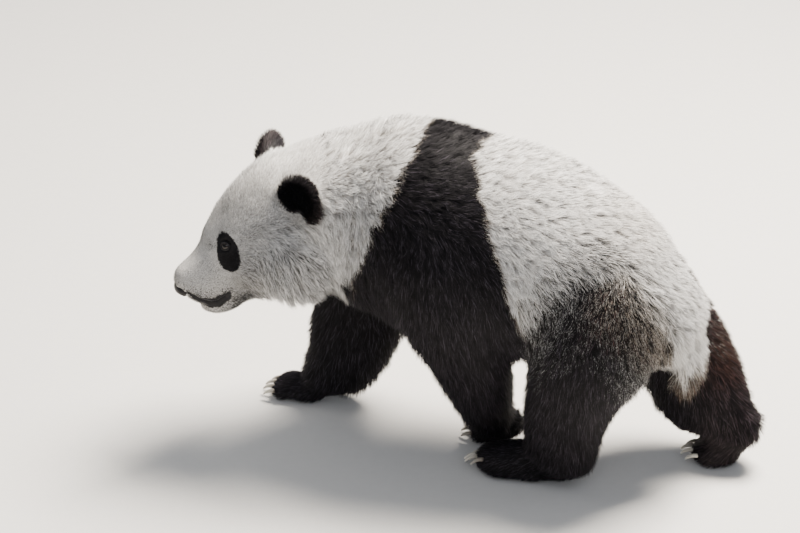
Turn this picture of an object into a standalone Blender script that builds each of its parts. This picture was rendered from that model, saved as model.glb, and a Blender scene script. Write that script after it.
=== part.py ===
"""A life-size still model of a young giant panda in mid-walk, head low and turned to its left.

The outline is the coat's, out to the tips of the hairs. The animal is first modelled whole: the trunk, neck
and limbs are lofts along their bones, the head is built of rounded masses in its own frame, and a voxel
remesh melts them together. Thin cuts then part it where a person would name its parts. Eyes, nose leather
and claws are pieces of their own, seated in pockets.

Axes: the head is towards -X, the animal's left side is -Y, up is +Z, in metres. The origin is on the floor
under the middle of the bounding box.
"""

import math

import bmesh
import bpy
from mathutils import Matrix, Vector

# ---- driving dimensions, in metres and degrees --------------------------------------------------------
EAR_SPACING = 0.216        # between the middles of the ears
EAR_DIAMETER = 0.096
EAR_THICKNESS = 0.034
EYEBALL_RADIUS = 0.0105
FOREPAW_LENGTH, FOREPAW_WIDTH, FOREPAW_HEIGHT = 0.120, 0.088, 0.048
HINDPAW_LENGTH, HINDPAW_WIDTH, HINDPAW_HEIGHT = 0.175, 0.086, 0.056
HINDPAW_DEEP = 0.070        # height of the hind paw that carries the weight, its hair pressed up round it
CLAW_LENGTH, CLAW_RADIUS = 0.026, 0.0042
CLAW_BEND = 52.0           # degrees that a claw turns down along its length
TOES = 5

HEAD_MIDDLE = Vector((-0.2825, -0.050, 0.5273))   # midway between the ears
HEAD_YAW, HEAD_PITCH = 33.0, 12.0                 # turned to its left, nose down

GAP = 0.0004               # between neighbouring solids
VOXEL = 0.0065             # of the remesh that melts the masses together
MELT_ROUNDS = 7            # smoothing passes over the remesh
KEPT_SHARE = 0.0250        # of the remesh's triangles that the faceted solid keeps
EAR_VOXEL, EAR_ROUNDS, EAR_KEPT = 0.0035, 4, 0.06          # the same three for the ears
HEAD_SPARED, PAW_SPARED = 0.9975, 0.9992   # how freely the facets there go: 1 is as freely as elsewhere
RING_POINTS = 28
RINGS_PER_SPAN = 5

COAT_WHITE = (0.78, 0.75, 0.70)
COAT_BLACK = (0.020, 0.018, 0.018)


# ---- small helpers ------------------------------------------------------------------------------------
def clear_scene():
    for thing in list(bpy.data.objects):
        bpy.data.objects.remove(thing)


def new_collection(name):
    made = bpy.data.collections.new(name)
    bpy.context.scene.collection.children.link(made)
    return made


def material(name, colour, roughness, metallic=0.0):
    made = bpy.data.materials.new(name)
    made.use_nodes = True
    shader = made.node_tree.nodes["Principled BSDF"]
    shader.inputs["Base Color"].default_value = (*colour, 1.0)
    shader.inputs["Roughness"].default_value = roughness
    shader.inputs["Metallic"].default_value = metallic
    return made


def put_in(thing, collection):
    for old in list(thing.users_collection):
        old.objects.unlink(thing)
    collection.objects.link(thing)
    return thing


def mesh_object(name, bm, collection):
    mesh = bpy.data.meshes.new(name)
    bm.to_mesh(mesh)
    bm.free()
    thing = bpy.data.objects.new(name, mesh)
    collection.objects.link(thing)
    return thing


def evaluated_mesh(thing):
    """The object's mesh as its modifiers leave it."""
    bpy.context.view_layer.update()
    graph = bpy.context.evaluated_depsgraph_get()
    return bpy.data.meshes.new_from_object(thing.evaluated_get(graph))


def curved(values, t):
    """Catmull-Rom through a list of number tuples; t counts stations."""
    last = len(values) - 1
    i = min(int(t), last - 1)
    u = t - i
    p0, p1, p2, p3 = (values[max(0, min(last, i + k))] for k in (-1, 0, 1, 2))
    return [
        0.5 * (2 * b + (c - a) * u + (2 * a - 5 * b + 4 * c - d) * u ** 2 + (3 * b - a - 3 * c + d) * u ** 3)
        for a, b, c, d in zip(p0, p1, p2, p3)
    ]


def loft(name, stations, collection, across=Vector((0, 1, 0)), points=RING_POINTS, spans=RINGS_PER_SPAN):
    """A closed tube through stations (x, y, z, half width, half depth above, half depth below).

    The width runs along `across`; above is the side that lies to the right of the path, seen with `across`
    pointing away. Each ring stands square to the path.
    """
    steps = spans * (len(stations) - 1)
    rows = [curved(stations, k / spans) for k in range(steps + 1)]
    bm = bmesh.new()
    rings = []
    for k, row in enumerate(rows):
        before, after = rows[max(0, k - 1)], rows[min(steps, k + 1)]
        along = (Vector(after[:3]) - Vector(before[:3])).normalized()
        wide = (across - along * across.dot(along)).normalized()
        high = wide.cross(along)
        ring = []
        for n in range(points):
            angle = 2 * math.pi * n / points
            depth = row[4] if math.sin(angle) > 0 else row[5]
            out = wide * (math.cos(angle) * max(row[3], 0.001))
            rise = high * (math.sin(angle) * max(depth, 0.001))
            ring.append(bm.verts.new(Vector(row[:3]) + out + rise))
        rings.append(ring)
    for one, two in zip(rings, rings[1:]):
        for n in range(points):
            m = (n + 1) % points
            bm.faces.new((one[n], one[m], two[m], two[n]))
    bm.faces.new(rings[0][::-1])
    bm.faces.new(rings[-1])
    bmesh.ops.recalc_face_normals(bm, faces=bm.faces)
    return mesh_object(name, bm, collection)


def ellipsoid(name, place, radii, collection, turn=None, rounds=28):
    """A rounded mass: `turn` is the rotation that its axes take, `rounds` the facets round its middle."""
    bpy.ops.mesh.primitive_uv_sphere_add(segments=rounds, ring_count=rounds // 2 + 1, radius=1.0)
    mass = bpy.context.object
    mass.name = name
    turned = (turn or Matrix.Identity(3)).to_4x4()
    mass.data.transform(Matrix.Translation(place) @ turned @ Matrix.Diagonal((*radii, 1.0)))
    return put_in(mass, collection)


def flesh_axes(yaw, pitch=0.0):
    """Axes of a part that points towards -X when yaw is 0: columns are forward, left and up."""
    heading, dip = math.radians(yaw), math.radians(pitch)
    level = Vector((-math.cos(heading), -math.sin(heading), 0))
    left = Vector((math.sin(heading), -math.cos(heading), 0))
    forward = level * math.cos(dip) - Vector((0, 0, math.sin(dip)))
    up = forward.cross(left)
    return Matrix((forward, left, up)).transposed()


# ---- trunk, neck and tail -----------------------------------------------------------------------------
# x, y, z of the middle, then half width, half height above, half height below
TRUNK = [
    (0.460, 0.004, 0.268, 0.020, 0.022, 0.024),    # end of the rump
    (0.446, 0.004, 0.276, 0.072, 0.054, 0.060),    # seat
    (0.416, 0.004, 0.300, 0.098, 0.079, 0.086),    # croup
    (0.368, 0.003, 0.328, 0.128, 0.112, 0.112),    # hips
    (0.296, 0.002, 0.354, 0.158, 0.166, 0.134),    # loin
    (0.160, 0.004, 0.380, 0.186, 0.211, 0.154),    # belly
    (0.030, 0.008, 0.402, 0.184, 0.210, 0.168),    # ribs
    (-0.070, 0.012, 0.424, 0.172, 0.202, 0.168),   # withers
    (-0.160, 0.014, 0.414, 0.148, 0.168, 0.144),   # point of the shoulders
    (-0.225, 0.010, 0.398, 0.104, 0.112, 0.108),   # breast
    (-0.255, 0.006, 0.388, 0.030, 0.040, 0.040),   # front of the breast
]
NECK = [
    (-0.020, 0.010, 0.465, 0.130, 0.130, 0.130),   # root, inside the shoulders
    (-0.100, 0.008, 0.476, 0.142, 0.134, 0.140),   # base
    (-0.170, -0.004, 0.474, 0.140, 0.120, 0.146),  # middle
    (-0.225, -0.024, 0.466, 0.134, 0.106, 0.160),  # nape
    (-0.270, -0.050, 0.456, 0.118, 0.092, 0.146),  # throat
    (-0.300, -0.068, 0.450, 0.060, 0.060, 0.070),
]
# the tail isn't melted with the rest: its own facets are the final ones
TAIL = [
    (0.412, 0.000, 0.346, 0.030, 0.030, 0.030),    # root, inside the rump
    (0.440, -0.002, 0.308, 0.052, 0.040, 0.030),
    (0.454, -0.004, 0.260, 0.060, 0.044, 0.026),
    (0.450, -0.004, 0.216, 0.052, 0.038, 0.024),
    (0.444, -0.004, 0.192, 0.028, 0.020, 0.014),
    (0.440, -0.004, 0.184, 0.006, 0.005, 0.004),    # tip of the hair
]


def body_masses(masses):
    """The trunk and the neck, as lofts that run into each other."""
    loft("trunk_mass", TRUNK, masses)
    loft("neck_mass", NECK, masses)


# ---- legs ---------------------------------------------------------------------------------------------
# x, y, z of the middle, then half width across, half depth in front, half depth behind
LEGS = {
    "foreleg_left": [
        (0.005, -0.085, 0.520, 0.050, 0.070, 0.070),   # blade
        (0.010, -0.110, 0.430, 0.072, 0.100, 0.112),   # shoulder
        (0.045, -0.118, 0.335, 0.070, 0.090, 0.100),   # upper arm
        (0.076, -0.100, 0.262, 0.062, 0.082, 0.078),   # elbow
        (0.090, -0.062, 0.185, 0.054, 0.078, 0.060),   # forearm
        (0.094, -0.014, 0.110, 0.045, 0.064, 0.044),
        (0.098, 0.016, 0.060, 0.040, 0.050, 0.036),    # wrist
        (0.096, 0.028, 0.034, 0.034, 0.036, 0.030),
    ],
    "foreleg_right": [
        (-0.045, 0.110, 0.520, 0.050, 0.070, 0.070),
        (-0.085, 0.128, 0.425, 0.074, 0.095, 0.105),
        (-0.125, 0.136, 0.332, 0.072, 0.100, 0.100),
        (-0.160, 0.132, 0.250, 0.068, 0.096, 0.096),
        (-0.190, 0.120, 0.172, 0.062, 0.088, 0.092),
        (-0.214, 0.106, 0.108, 0.055, 0.072, 0.084),
        (-0.240, 0.096, 0.062, 0.047, 0.050, 0.064),
        (-0.254, 0.093, 0.034, 0.036, 0.034, 0.040),
    ],
    "hindleg_left": [
        (0.350, -0.060, 0.420, 0.060, 0.070, 0.070),   # hip
        (0.328, -0.098, 0.356, 0.080, 0.110, 0.098),   # thigh
        (0.300, -0.116, 0.288, 0.082, 0.112, 0.104),
        (0.276, -0.118, 0.220, 0.074, 0.092, 0.082),   # knee
        (0.260, -0.106, 0.155, 0.064, 0.084, 0.070),   # shank
        (0.254, -0.092, 0.095, 0.054, 0.076, 0.062),
        (0.252, -0.082, 0.052, 0.044, 0.066, 0.050),   # ankle
        (0.252, -0.078, 0.030, 0.036, 0.050, 0.046),
    ],
    "hindleg_right": [
        (0.340, 0.055, 0.385, 0.055, 0.060, 0.050),
        (0.362, 0.086, 0.332, 0.078, 0.104, 0.058),
        (0.394, 0.102, 0.274, 0.079, 0.116, 0.064),
        (0.426, 0.106, 0.216, 0.073, 0.114, 0.072),
        (0.456, 0.098, 0.160, 0.066, 0.106, 0.074),
        (0.488, 0.084, 0.108, 0.058, 0.094, 0.064),
        (0.506, 0.074, 0.066, 0.048, 0.072, 0.050),
        (0.500, 0.070, 0.040, 0.036, 0.040, 0.042),
    ],
}

# where each paw stands, the way that it points, how far its heel is lifted and its inner edge rolled up,
# and its three sizes
FOREPAW = (FOREPAW_LENGTH, FOREPAW_WIDTH, FOREPAW_HEIGHT)
HINDPAW = (HINDPAW_LENGTH, HINDPAW_WIDTH, HINDPAW_HEIGHT)
HINDPAW_LADEN = (HINDPAW_LENGTH, HINDPAW_WIDTH, HINDPAW_DEEP)
PAWS = {
    "forepaw_left": (Vector((0.112, 0.034, 0)), (-14.0, 22.0, 0.0), FOREPAW),
    "forepaw_right": (Vector((-0.280, 0.092, 0)), (-8.0, 0.0, 0.0), FOREPAW),
    "hindpaw_left": (Vector((0.181, -0.077, 0)), (4.0, 0.0, 16.0), HINDPAW_LADEN),
    "hindpaw_right": (Vector((0.540, 0.068, 0)), (-4.0, 50.0, 0.0), HINDPAW),
}


def paw_frame(name):
    """The paw's axes with the heel lifted, the toes' axes, and the ball of the foot."""
    place, (yaw, lift, roll), (length, width, height) = PAWS[name]
    inward = 1 if name.endswith("left") else -1
    rolled = Matrix.Rotation(math.radians(roll) * inward, 3, "X")
    flat = flesh_axes(yaw) @ rolled
    axes = flesh_axes(yaw, lift) @ rolled
    rise = 0.08 * width * math.sin(math.radians(roll))
    ball = place + flesh_axes(yaw) @ Vector((0.25 * length, 0, 0)) + Vector((0, 0, rise))
    return axes, flat, ball


def toe_row(name):
    """The middles of the toe pads, from the inner toe outwards, in the world."""
    length, width, height = PAWS[name][2]
    axes, flat, ball = paw_frame(name)
    inward = 1 if name.endswith("left") else -1
    places = []
    for n in range(TOES):
        share = n / (TOES - 1) * 2 - 1                       # -1 at the inner toe, +1 at the outer
        side = share * inward * (width * 0.40)
        reach = length * (0.17 - 0.10 * share * share)
        places.append(ball + flat @ Vector((reach, side, height * 0.40)))
    return places


def paw_masses(name, masses):
    """A paw as palm, ball, toes and, on a hind foot, the heel. Its masses are shares of its three sizes."""
    length, width, height = PAWS[name][2]
    axes, flat, ball = paw_frame(name)
    sole_middle = ball + axes @ Vector((-0.25 * length, 0, 0))
    ellipsoid(name + "_palm", sole_middle + Vector((0, 0, height * 0.50)),
              (length * 0.40, width * 0.45, height * 0.58), masses, axes)
    ellipsoid(name + "_ball", ball + Vector((0, 0, height * 0.44)),
              (length * 0.24, width * 0.49, height * 0.52), masses, flat)
    if name.startswith("hind"):
        ellipsoid(name + "_heel", sole_middle + axes @ Vector((-0.30 * length, 0, height * 0.45)),
                  (length * 0.24, width * 0.38, height * 0.50), masses, axes)
    for n, toe in enumerate(toe_row(name)):
        radii = (length * 0.15, width * 0.125, height * 0.40)
        ellipsoid(f"{name}_toe{n + 1}", toe, radii, masses, flat)


def leg_masses(masses):
    """All four legs with their paws."""
    for name, stations in LEGS.items():
        loft(name + "_mass", stations, masses)
    for name in PAWS:
        paw_masses(name, masses)


# ---- head ---------------------------------------------------------------------------------------------
# forward, left and up from midway between the ears, then half width, height above and depth below
HEAD_LOFT = [
    (0.2280, 0.0, -0.139, 0.012, 0.012, 0.010),    # tip of the muzzle, over the nose leather
    (0.2200, 0.0, -0.141, 0.027, 0.022, 0.017),
    (0.2100, 0.0, -0.144, 0.034, 0.029, 0.023),
    (0.1960, 0.0, -0.147, 0.040, 0.036, 0.041),
    (0.1650, 0.0, -0.146, 0.048, 0.049, 0.062),    # muzzle
    (0.1350, 0.0, -0.138, 0.060, 0.060, 0.072),    # stop
    (0.1050, 0.0, -0.122, 0.078, 0.077, 0.088),    # brow
    (0.0600, 0.0, -0.108, 0.098, 0.107, 0.104),    # forehead
    (0.0100, 0.0, -0.100, 0.112, 0.126, 0.114),    # crown
    (-0.040, 0.0, -0.095, 0.108, 0.124, 0.112),
    (-0.080, 0.0, -0.090, 0.086, 0.100, 0.092),    # occiput
    (-0.105, 0.0, -0.085, 0.030, 0.035, 0.035),
]
# the same frame, then the three radii; mirrored where left isn't 0
HEAD_MASSES = {
    "cheek": ((0.014, 0.074, -0.130), (0.084, 0.070, 0.080)),
    "cheek_pad": ((0.082, 0.045, -0.130), (0.058, 0.046, 0.056)),
    "brow": ((0.092, 0.035, -0.067), (0.038, 0.034, 0.032)),
    "jaw": ((0.078, 0.0, -0.172), (0.090, 0.060, 0.054)),
    "lip": ((0.178, 0.021, -0.164), (0.036, 0.024, 0.028)),
    "chin": ((0.148, 0.0, -0.201), (0.046, 0.032, 0.028)),
}
EYE_PLACE = Vector((0.1270, 0.0520, -0.0790))
NOSE_PLACE, NOSE_RADII = Vector((0.2120, 0.0, -0.1580)), (0.0145, 0.0245, 0.0120)
NOSE_LEAN = 28.0           # degrees that the nose leather leans back under the muzzle's tip
EAR_PLACE = Vector((-0.003, 0.5 * EAR_SPACING, -0.011))
EAR_LAID = 0.011            # how much lower the right ear is held


def head_turn():
    """The head's own frame (forward, left, up) as a rotation."""
    return flesh_axes(HEAD_YAW, HEAD_PITCH)


def in_head(local):
    """A point of the head's own frame in the world."""
    return HEAD_MIDDLE + head_turn() @ Vector(local)


def sides(local):
    """The point itself, and its mirror image where it isn't on the middle."""
    x, y, z = local
    return [(x, y, z)] if y == 0 else [(x, y, z), (x, -y, z)]


def ear_axes(side):
    """Columns: out of the ear's face, across it, and towards its tip. Side is 1 on the left."""
    face = Vector((0.72, 0.60 * side, 0.20)).normalized()
    tip = Vector((-0.16, 0.46 * side, 0.88))
    tip = (tip - face * tip.dot(face)).normalized()
    across = tip.cross(face)
    return Matrix((face, across, tip)).transposed()


def ear_mass(side, masses):
    """A round cupped ear, thick with fur, on a short root."""
    axes = head_turn() @ ear_axes(side)
    radius, half_thick = EAR_DIAMETER / 2, EAR_THICKNESS / 2
    place = Vector((EAR_PLACE.x, EAR_PLACE.y * side, EAR_PLACE.z - (EAR_LAID if side < 0 else 0)))
    name = "ear_left" if side > 0 else "ear_right"
    shell = ellipsoid(name + "_mass", Vector((0, 0, 0)), (half_thick, radius, radius), masses)
    for vertex in shell.data.vertices:
        x, y, z = vertex.co
        dish = 0.012 * (1 - (y * y + z * z) / radius ** 2)
        vertex.co.x = x - dish
    shell.data.transform(Matrix.Translation(in_head(place)) @ axes.to_4x4())
    ellipsoid(name + "_root", in_head(place) - axes @ Vector((0.010, 0, radius * 0.62)),
              (half_thick * 1.05, radius * 0.50, radius * 0.50), masses, axes)


def head_masses(masses):
    """Skull, cheeks, brows, jaw, lips, chin and ears."""
    skull = loft("head_skull", HEAD_LOFT, masses)
    skull.data.transform(Matrix.Translation(HEAD_MIDDLE) @ head_turn().to_4x4())
    for name, (place, radii) in HEAD_MASSES.items():
        for n, spot in enumerate(sides(place)):
            ellipsoid(f"head_{name}{n}", in_head(spot), radii, masses, head_turn())
    for side in (1, -1):
        ear_mass(side, masses)


# ---- the small hard pieces ----------------------------------------------------------------------------
def eyeball(side, radius, name, collection):
    """One eyeball. Side is 1 on the left."""
    place = in_head((EYE_PLACE.x, EYE_PLACE.y * side, EYE_PLACE.z))
    return ellipsoid(name, place, (radius,) * 3, collection, rounds=10)


def nose_pad(spread, name, collection):
    """The nose leather: a broad rounded pad that leans back under the tip of the muzzle."""
    axes = flesh_axes(HEAD_YAW, HEAD_PITCH + NOSE_LEAN)
    radii = [r + spread for r in NOSE_RADII]
    return ellipsoid(name, in_head(NOSE_PLACE), radii, collection, axes, 12)


def claw(paw, toe, spread, name, collection):
    """A curved tapering claw that leaves the tip of its toe and bends to the floor."""
    length, width, height = PAWS[paw][2]
    flat = paw_frame(paw)[1]
    root = toe + flat @ Vector((length * 0.15 - 0.008, 0, height * 0.06))
    path = bpy.data.curves.new(name, "CURVE")
    path.dimensions = "3D"
    path.bevel_depth = CLAW_RADIUS + spread
    path.bevel_resolution = 0
    path.use_fill_caps = True
    spline = path.splines.new("POLY")
    steps = 5
    spline.points.add(steps)
    whole_bend = math.radians(CLAW_BEND)
    for k in range(steps + 1):
        share = k / steps
        bend = share * whole_bend
        reach = CLAW_LENGTH * math.sin(bend) / whole_bend - spread * (k == 0)
        drop = CLAW_LENGTH * (1 - math.cos(bend)) / whole_bend
        spot = root + flat @ Vector((reach, 0, -drop))
        spline.points[k].co = (*spot, 1)
        spline.points[k].radius = 1 - 0.86 * share ** 1.6
    thing = bpy.data.objects.new(name + "_curve", path)
    collection.objects.link(thing)
    mesh = evaluated_mesh(thing)
    bpy.data.objects.remove(thing)
    bm = bmesh.new()
    bm.from_mesh(mesh)
    bmesh.ops.remove_doubles(bm, verts=bm.verts, dist=0.00005)
    bmesh.ops.recalc_face_normals(bm, faces=bm.faces)
    return mesh_object(name, bm, collection)


def hard_pieces(spread, collection, label=""):
    """Eyes, nose leather and claws; with a spread and a label they are the cutters of their own pockets."""
    made = []
    for side, which in ((1, "left"), (-1, "right")):
        made.append(eyeball(side, EYEBALL_RADIUS + spread, f"eye_{which}{label}", collection))
    made.append(nose_pad(spread, f"nose{label}", collection))
    for paw in PAWS:
        for n, toe in enumerate(toe_row(paw)):
            made.append(claw(paw, toe, spread, f"claw_{paw}_{n + 1}{label}", collection))
    return made


# ---- melting the masses together and parting them -----------------------------------------------------
def joined(things, name, collection):
    """One mesh object holding all of these objects' meshes."""
    bm = bmesh.new()
    for thing in things:
        mesh = thing.data.copy()
        mesh.transform(thing.matrix_world)
        bm.from_mesh(mesh)
        bpy.data.meshes.remove(mesh)
    for thing in things:
        bpy.data.objects.remove(thing)
    return mesh_object(name, bm, collection)


def melted(whole, voxel=VOXEL, rounds=MELT_ROUNDS):
    """The overlapping masses as one smooth closed surface."""
    remesh = whole.modifiers.new("melt", "REMESH")
    remesh.mode = "VOXEL"
    remesh.voxel_size = voxel
    smooth = whole.modifiers.new("soften", "SMOOTH")
    smooth.factor = 0.5
    smooth.iterations = rounds
    whole.data = evaluated_mesh(whole)
    whole.modifiers.clear()
    return whole


def decimated(thing, share, group=""):
    """The surface with that share of its triangles; a vertex group says how freely they go."""
    thin = thing.modifiers.new("thin", "DECIMATE")
    thin.ratio = share
    thin.vertex_group = group
    thing.data = evaluated_mesh(thing)
    thing.modifiers.clear()
    return thing


def thinned(whole):
    """Fewer facets, with more of them kept on the head and the paws."""
    group = whole.vertex_groups.new(name="thin")
    head_reach, paw_top = 0.19, 0.075
    face_middle = in_head((0.09, 0, -0.10))
    for vertex in whole.data.vertices:
        freely = 1.0
        if vertex.co.z < paw_top:
            freely = PAW_SPARED
        if (vertex.co - face_middle).length < head_reach:
            freely = HEAD_SPARED
        group.add([vertex.index], freely, "REPLACE")
    return decimated(whole, KEPT_SHARE, group.name)


def flattened(whole):
    """Cuts the soles level with the floor."""
    bm = bmesh.new()
    bm.from_mesh(whole.data)
    cut = bmesh.ops.bisect_plane(bm, geom=bm.verts[:] + bm.edges[:] + bm.faces[:], dist=1e-6,
                                 plane_co=(0, 0, 0), plane_no=(0, 0, 1), clear_inner=True)
    rim = [e for e in cut["geom_cut"] if isinstance(e, bmesh.types.BMEdge)]
    bmesh.ops.holes_fill(bm, edges=rim)
    bmesh.ops.triangulate(bm, faces=bm.faces)
    bmesh.ops.recalc_face_normals(bm, faces=bm.faces)
    bm.to_mesh(whole.data)
    bm.free()
    return whole


def boolean(thing, cutter, how):
    """The exact Boolean of two mesh objects, left in the first; the second goes."""
    step = thing.modifiers.new("cut", "BOOLEAN")
    step.operation = how
    step.solver = "EXACT"
    step.object = cutter
    thing.data = evaluated_mesh(thing)
    thing.modifiers.clear()
    bpy.data.objects.remove(cutter)
    return thing


def copy_of(thing, name, collection):
    """A copy of a mesh object, with a mesh of its own."""
    made = bpy.data.objects.new(name, thing.data.copy())
    collection.objects.link(made)
    return made


def grown(thing, amount):
    """Every vertex moved out along its normal."""
    bm = bmesh.new()
    bm.from_mesh(thing.data)
    bm.normal_update()
    moved = [(v, v.co + v.normal * amount) for v in bm.verts]
    for vertex, place in moved:
        vertex.co = place
    bm.to_mesh(thing.data)
    bm.free()
    return thing


def one_side(thing, place, normal, name, collection):
    """A capped copy of the part of a solid that lies on the side that the normal points to."""
    bm = bmesh.new()
    bm.from_mesh(thing.data)
    everything = bm.verts[:] + bm.edges[:] + bm.faces[:]
    cut = bmesh.ops.bisect_plane(bm, geom=everything, dist=1e-6, plane_co=place,
                                 plane_no=normal, clear_inner=True)
    rim = [e for e in cut["geom_cut"] if isinstance(e, bmesh.types.BMEdge)]
    bmesh.ops.holes_fill(bm, edges=rim)
    bmesh.ops.recalc_face_normals(bm, faces=bm.faces)
    return mesh_object(name, bm, collection)


def parted(thing, place, normal, front_name, collection):
    """Cuts a solid along a plane; returns the front piece and leaves the rest in the object."""
    normal = normal.normalized()
    front = one_side(thing, place + normal * GAP / 2, normal, front_name, collection)
    rest = one_side(thing, place - normal * GAP / 2, -normal, thing.name + "_rest", collection)
    thing.data = rest.data
    bpy.data.objects.remove(rest)
    return front


def loose_parts(thing, collection):
    """The separate closed bodies of a mesh, biggest first."""
    bm = bmesh.new()
    bm.from_mesh(thing.data)
    bm.verts.ensure_lookup_table()
    left = set(bm.verts)
    groups = []
    while left:
        seed = left.pop()
        group, edge = {seed}, [seed]
        while edge:
            vertex = edge.pop()
            for link in vertex.link_edges:
                other = link.other_vert(vertex)
                if other in left:
                    left.discard(other)
                    group.add(other)
                    edge.append(other)
        groups.append({v.index for v in group})
    bm.free()
    groups.sort(key=lambda g: (-len(g), min(g)))
    parts = []
    for n, group in enumerate(groups):
        piece = bmesh.new()
        piece.from_mesh(thing.data)
        bmesh.ops.delete(piece, geom=[v for v in piece.verts if v.index not in group], context="VERTS")
        parts.append(mesh_object(f"{thing.name}_{n}", piece, collection))
    bpy.data.objects.remove(thing)
    return parts


def nearest_part(parts, place):
    """Takes out of the list the part that has the vertex nearest to a place."""
    best = min(parts, key=lambda part: min((v.co - place).length for v in part.data.vertices))
    parts.remove(best)
    return best


# ---- where the body is parted -------------------------------------------------------------------------
# the shoulder and hip balls: middle, the way the bone runs, then half length, half depth and half width
BALLS = {
    "foreleg_left": (Vector((0.050, -0.100, 0.330)), Vector((0.31, 0.17, -0.93)), (0.190, 0.122, 0.135)),
    "foreleg_right": (Vector((-0.128, 0.122, 0.320)), Vector((-0.38, 0.01, -0.92)), (0.190, 0.134, 0.128)),
    "hindleg_left": (Vector((0.312, -0.118, 0.300)), Vector((-0.42, -0.07, -0.90)), (0.175, 0.130, 0.104)),
    "hindleg_right": (Vector((0.386, 0.114, 0.280)), Vector((0.45, 0.04, -0.89)), (0.172, 0.146, 0.104)),
}
# the plane across each wrist and ankle, its normal towards the paw
WRISTS = {
    "foreleg_left": (Vector((0.098, 0.000, 0.066)), Vector((-0.20, 0.0, -1.0))),
    "foreleg_right": (Vector((-0.240, 0.096, 0.064)), Vector((-0.35, 0.0, -1.0))),
    "hindleg_left": (Vector((0.252, -0.078, 0.072)), Vector((-0.25, 0.0, -1.0))),
    "hindleg_right": (Vector((0.506, 0.074, 0.082)), Vector((-0.20, 0.0, -1.0))),
}
NECK_FRONT = (Vector((-0.222, -0.030, 0.450)), Vector((-0.93, -0.37, 0.05)))
NECK_BACK = (Vector((-0.128, 0.008, 0.460)), Vector((-0.95, -0.02, 0.25)))
TRUNK_MIDDLE = Vector((0.15, 0.0, 0.58))


def ball(name, leg, spread, collection):
    """The rounded block that parts an upper leg from the trunk and the lower leg."""
    place, bone, (length, depth, width) = BALLS[leg]
    along = bone.normalized()
    across = (Vector((0, 1, 0)) - along * along.y).normalized()
    turn = Matrix((across.cross(along), across, along)).transposed()
    return ellipsoid(name, place, (depth + spread, width + spread, length + spread), collection, turn, 16)


def ear_solids(body, masses, parts):
    """The ears, trimmed where they stand on the head."""
    made = []
    for side in (1, -1):
        name = "ear_left" if side > 0 else "ear_right"
        ear = joined([m for m in masses.objects if m.name.startswith(name)], name + "_whole", masses)
        decimated(melted(ear, EAR_VOXEL, EAR_ROUNDS), EAR_KEPT)
        made.append(trimmed(ear, body, name, masses, parts))
    return made


def trimmed(thing, body, name, masses, parts):
    """A solid less the body that it stands on, with the gap between them."""
    cutter = grown(copy_of(body, name + "_cutter", masses), GAP)
    cut = boolean(thing, cutter, "DIFFERENCE")
    pieces = loose_parts(cut, masses)
    kept = pieces[0]
    for other in pieces[1:]:
        bpy.data.objects.remove(other)
    kept.name = name
    return put_in(kept, parts)


def leg_pieces(whole, masses, parts):
    """Upper legs out of the whole by their balls; what is left falls into the body and four lower legs."""
    made = []
    for leg in BALLS:
        upper = copy_of(whole, leg + "_upper", parts)
        boolean(upper, ball(leg + "_inner", leg, -GAP / 2, masses), "INTERSECT")
        boolean(whole, ball(leg + "_outer", leg, GAP / 2, masses), "DIFFERENCE")
        made.append(upper)
    pieces = loose_parts(whole, masses)
    body = nearest_part(pieces, TRUNK_MIDDLE)
    for leg, (place, normal) in WRISTS.items():
        lower = nearest_part(pieces, place)
        paw = parted(lower, place, normal, leg.replace("leg", "paw"), parts)
        lower.name = leg + "_lower"
        made += [put_in(lower, parts), paw]
    if pieces:
        raise RuntimeError(f"{len(pieces)} pieces of the body have no name")
    return body, made


def cut_pockets(by_name, masses):
    """Seats for the eyes, the nose leather and the claws."""
    cutters = hard_pieces(GAP, masses, "_pocket")
    seats = {"head": [c for c in cutters if c.name.startswith(("eye", "nose"))]}
    for paw in PAWS:
        seats[paw] = [c for c in cutters if c.name.startswith("claw_" + paw)]
    for name, group in seats.items():
        boolean(by_name[name], joined(group, name + "_pockets", masses), "DIFFERENCE")


def flesh_material(name):
    """Black or white coat, by the part."""
    black = name.startswith(("foreleg", "hindleg", "forepaw", "hindpaw", "ear"))
    return "black_coat" if black else "white_coat"


def finish(made):
    """Materials, shading, and the origin on the floor under the middle of the bounding box."""
    looks = {
        "white_coat": material("white_coat", COAT_WHITE, 0.85),
        "black_coat": material("black_coat", COAT_BLACK, 0.75),
        "eye": material("cornea", (0.020, 0.012, 0.008), 0.08),
        "nose": material("nose_leather", (0.012, 0.011, 0.011), 0.45),
        "claw": material("claw_horn", (0.42, 0.38, 0.32), 0.40),
    }
    corners = [v.co for thing in made for v in thing.data.vertices]
    low = [min(c[k] for c in corners) for k in range(3)]
    high = [max(c[k] for c in corners) for k in range(3)]
    middle = Vector(((low[0] + high[0]) / 2, (low[1] + high[1]) / 2, low[2]))
    for thing in made:
        look = thing.name.split("_")[0]
        thing.data.transform(Matrix.Translation(-middle))
        thing.data.materials.clear()
        thing.data.materials.append(looks.get(look) or looks[flesh_material(thing.name)])
        thing.data.shade_smooth()
        thing.data.set_sharp_from_angle(angle=math.radians(50))


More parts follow.
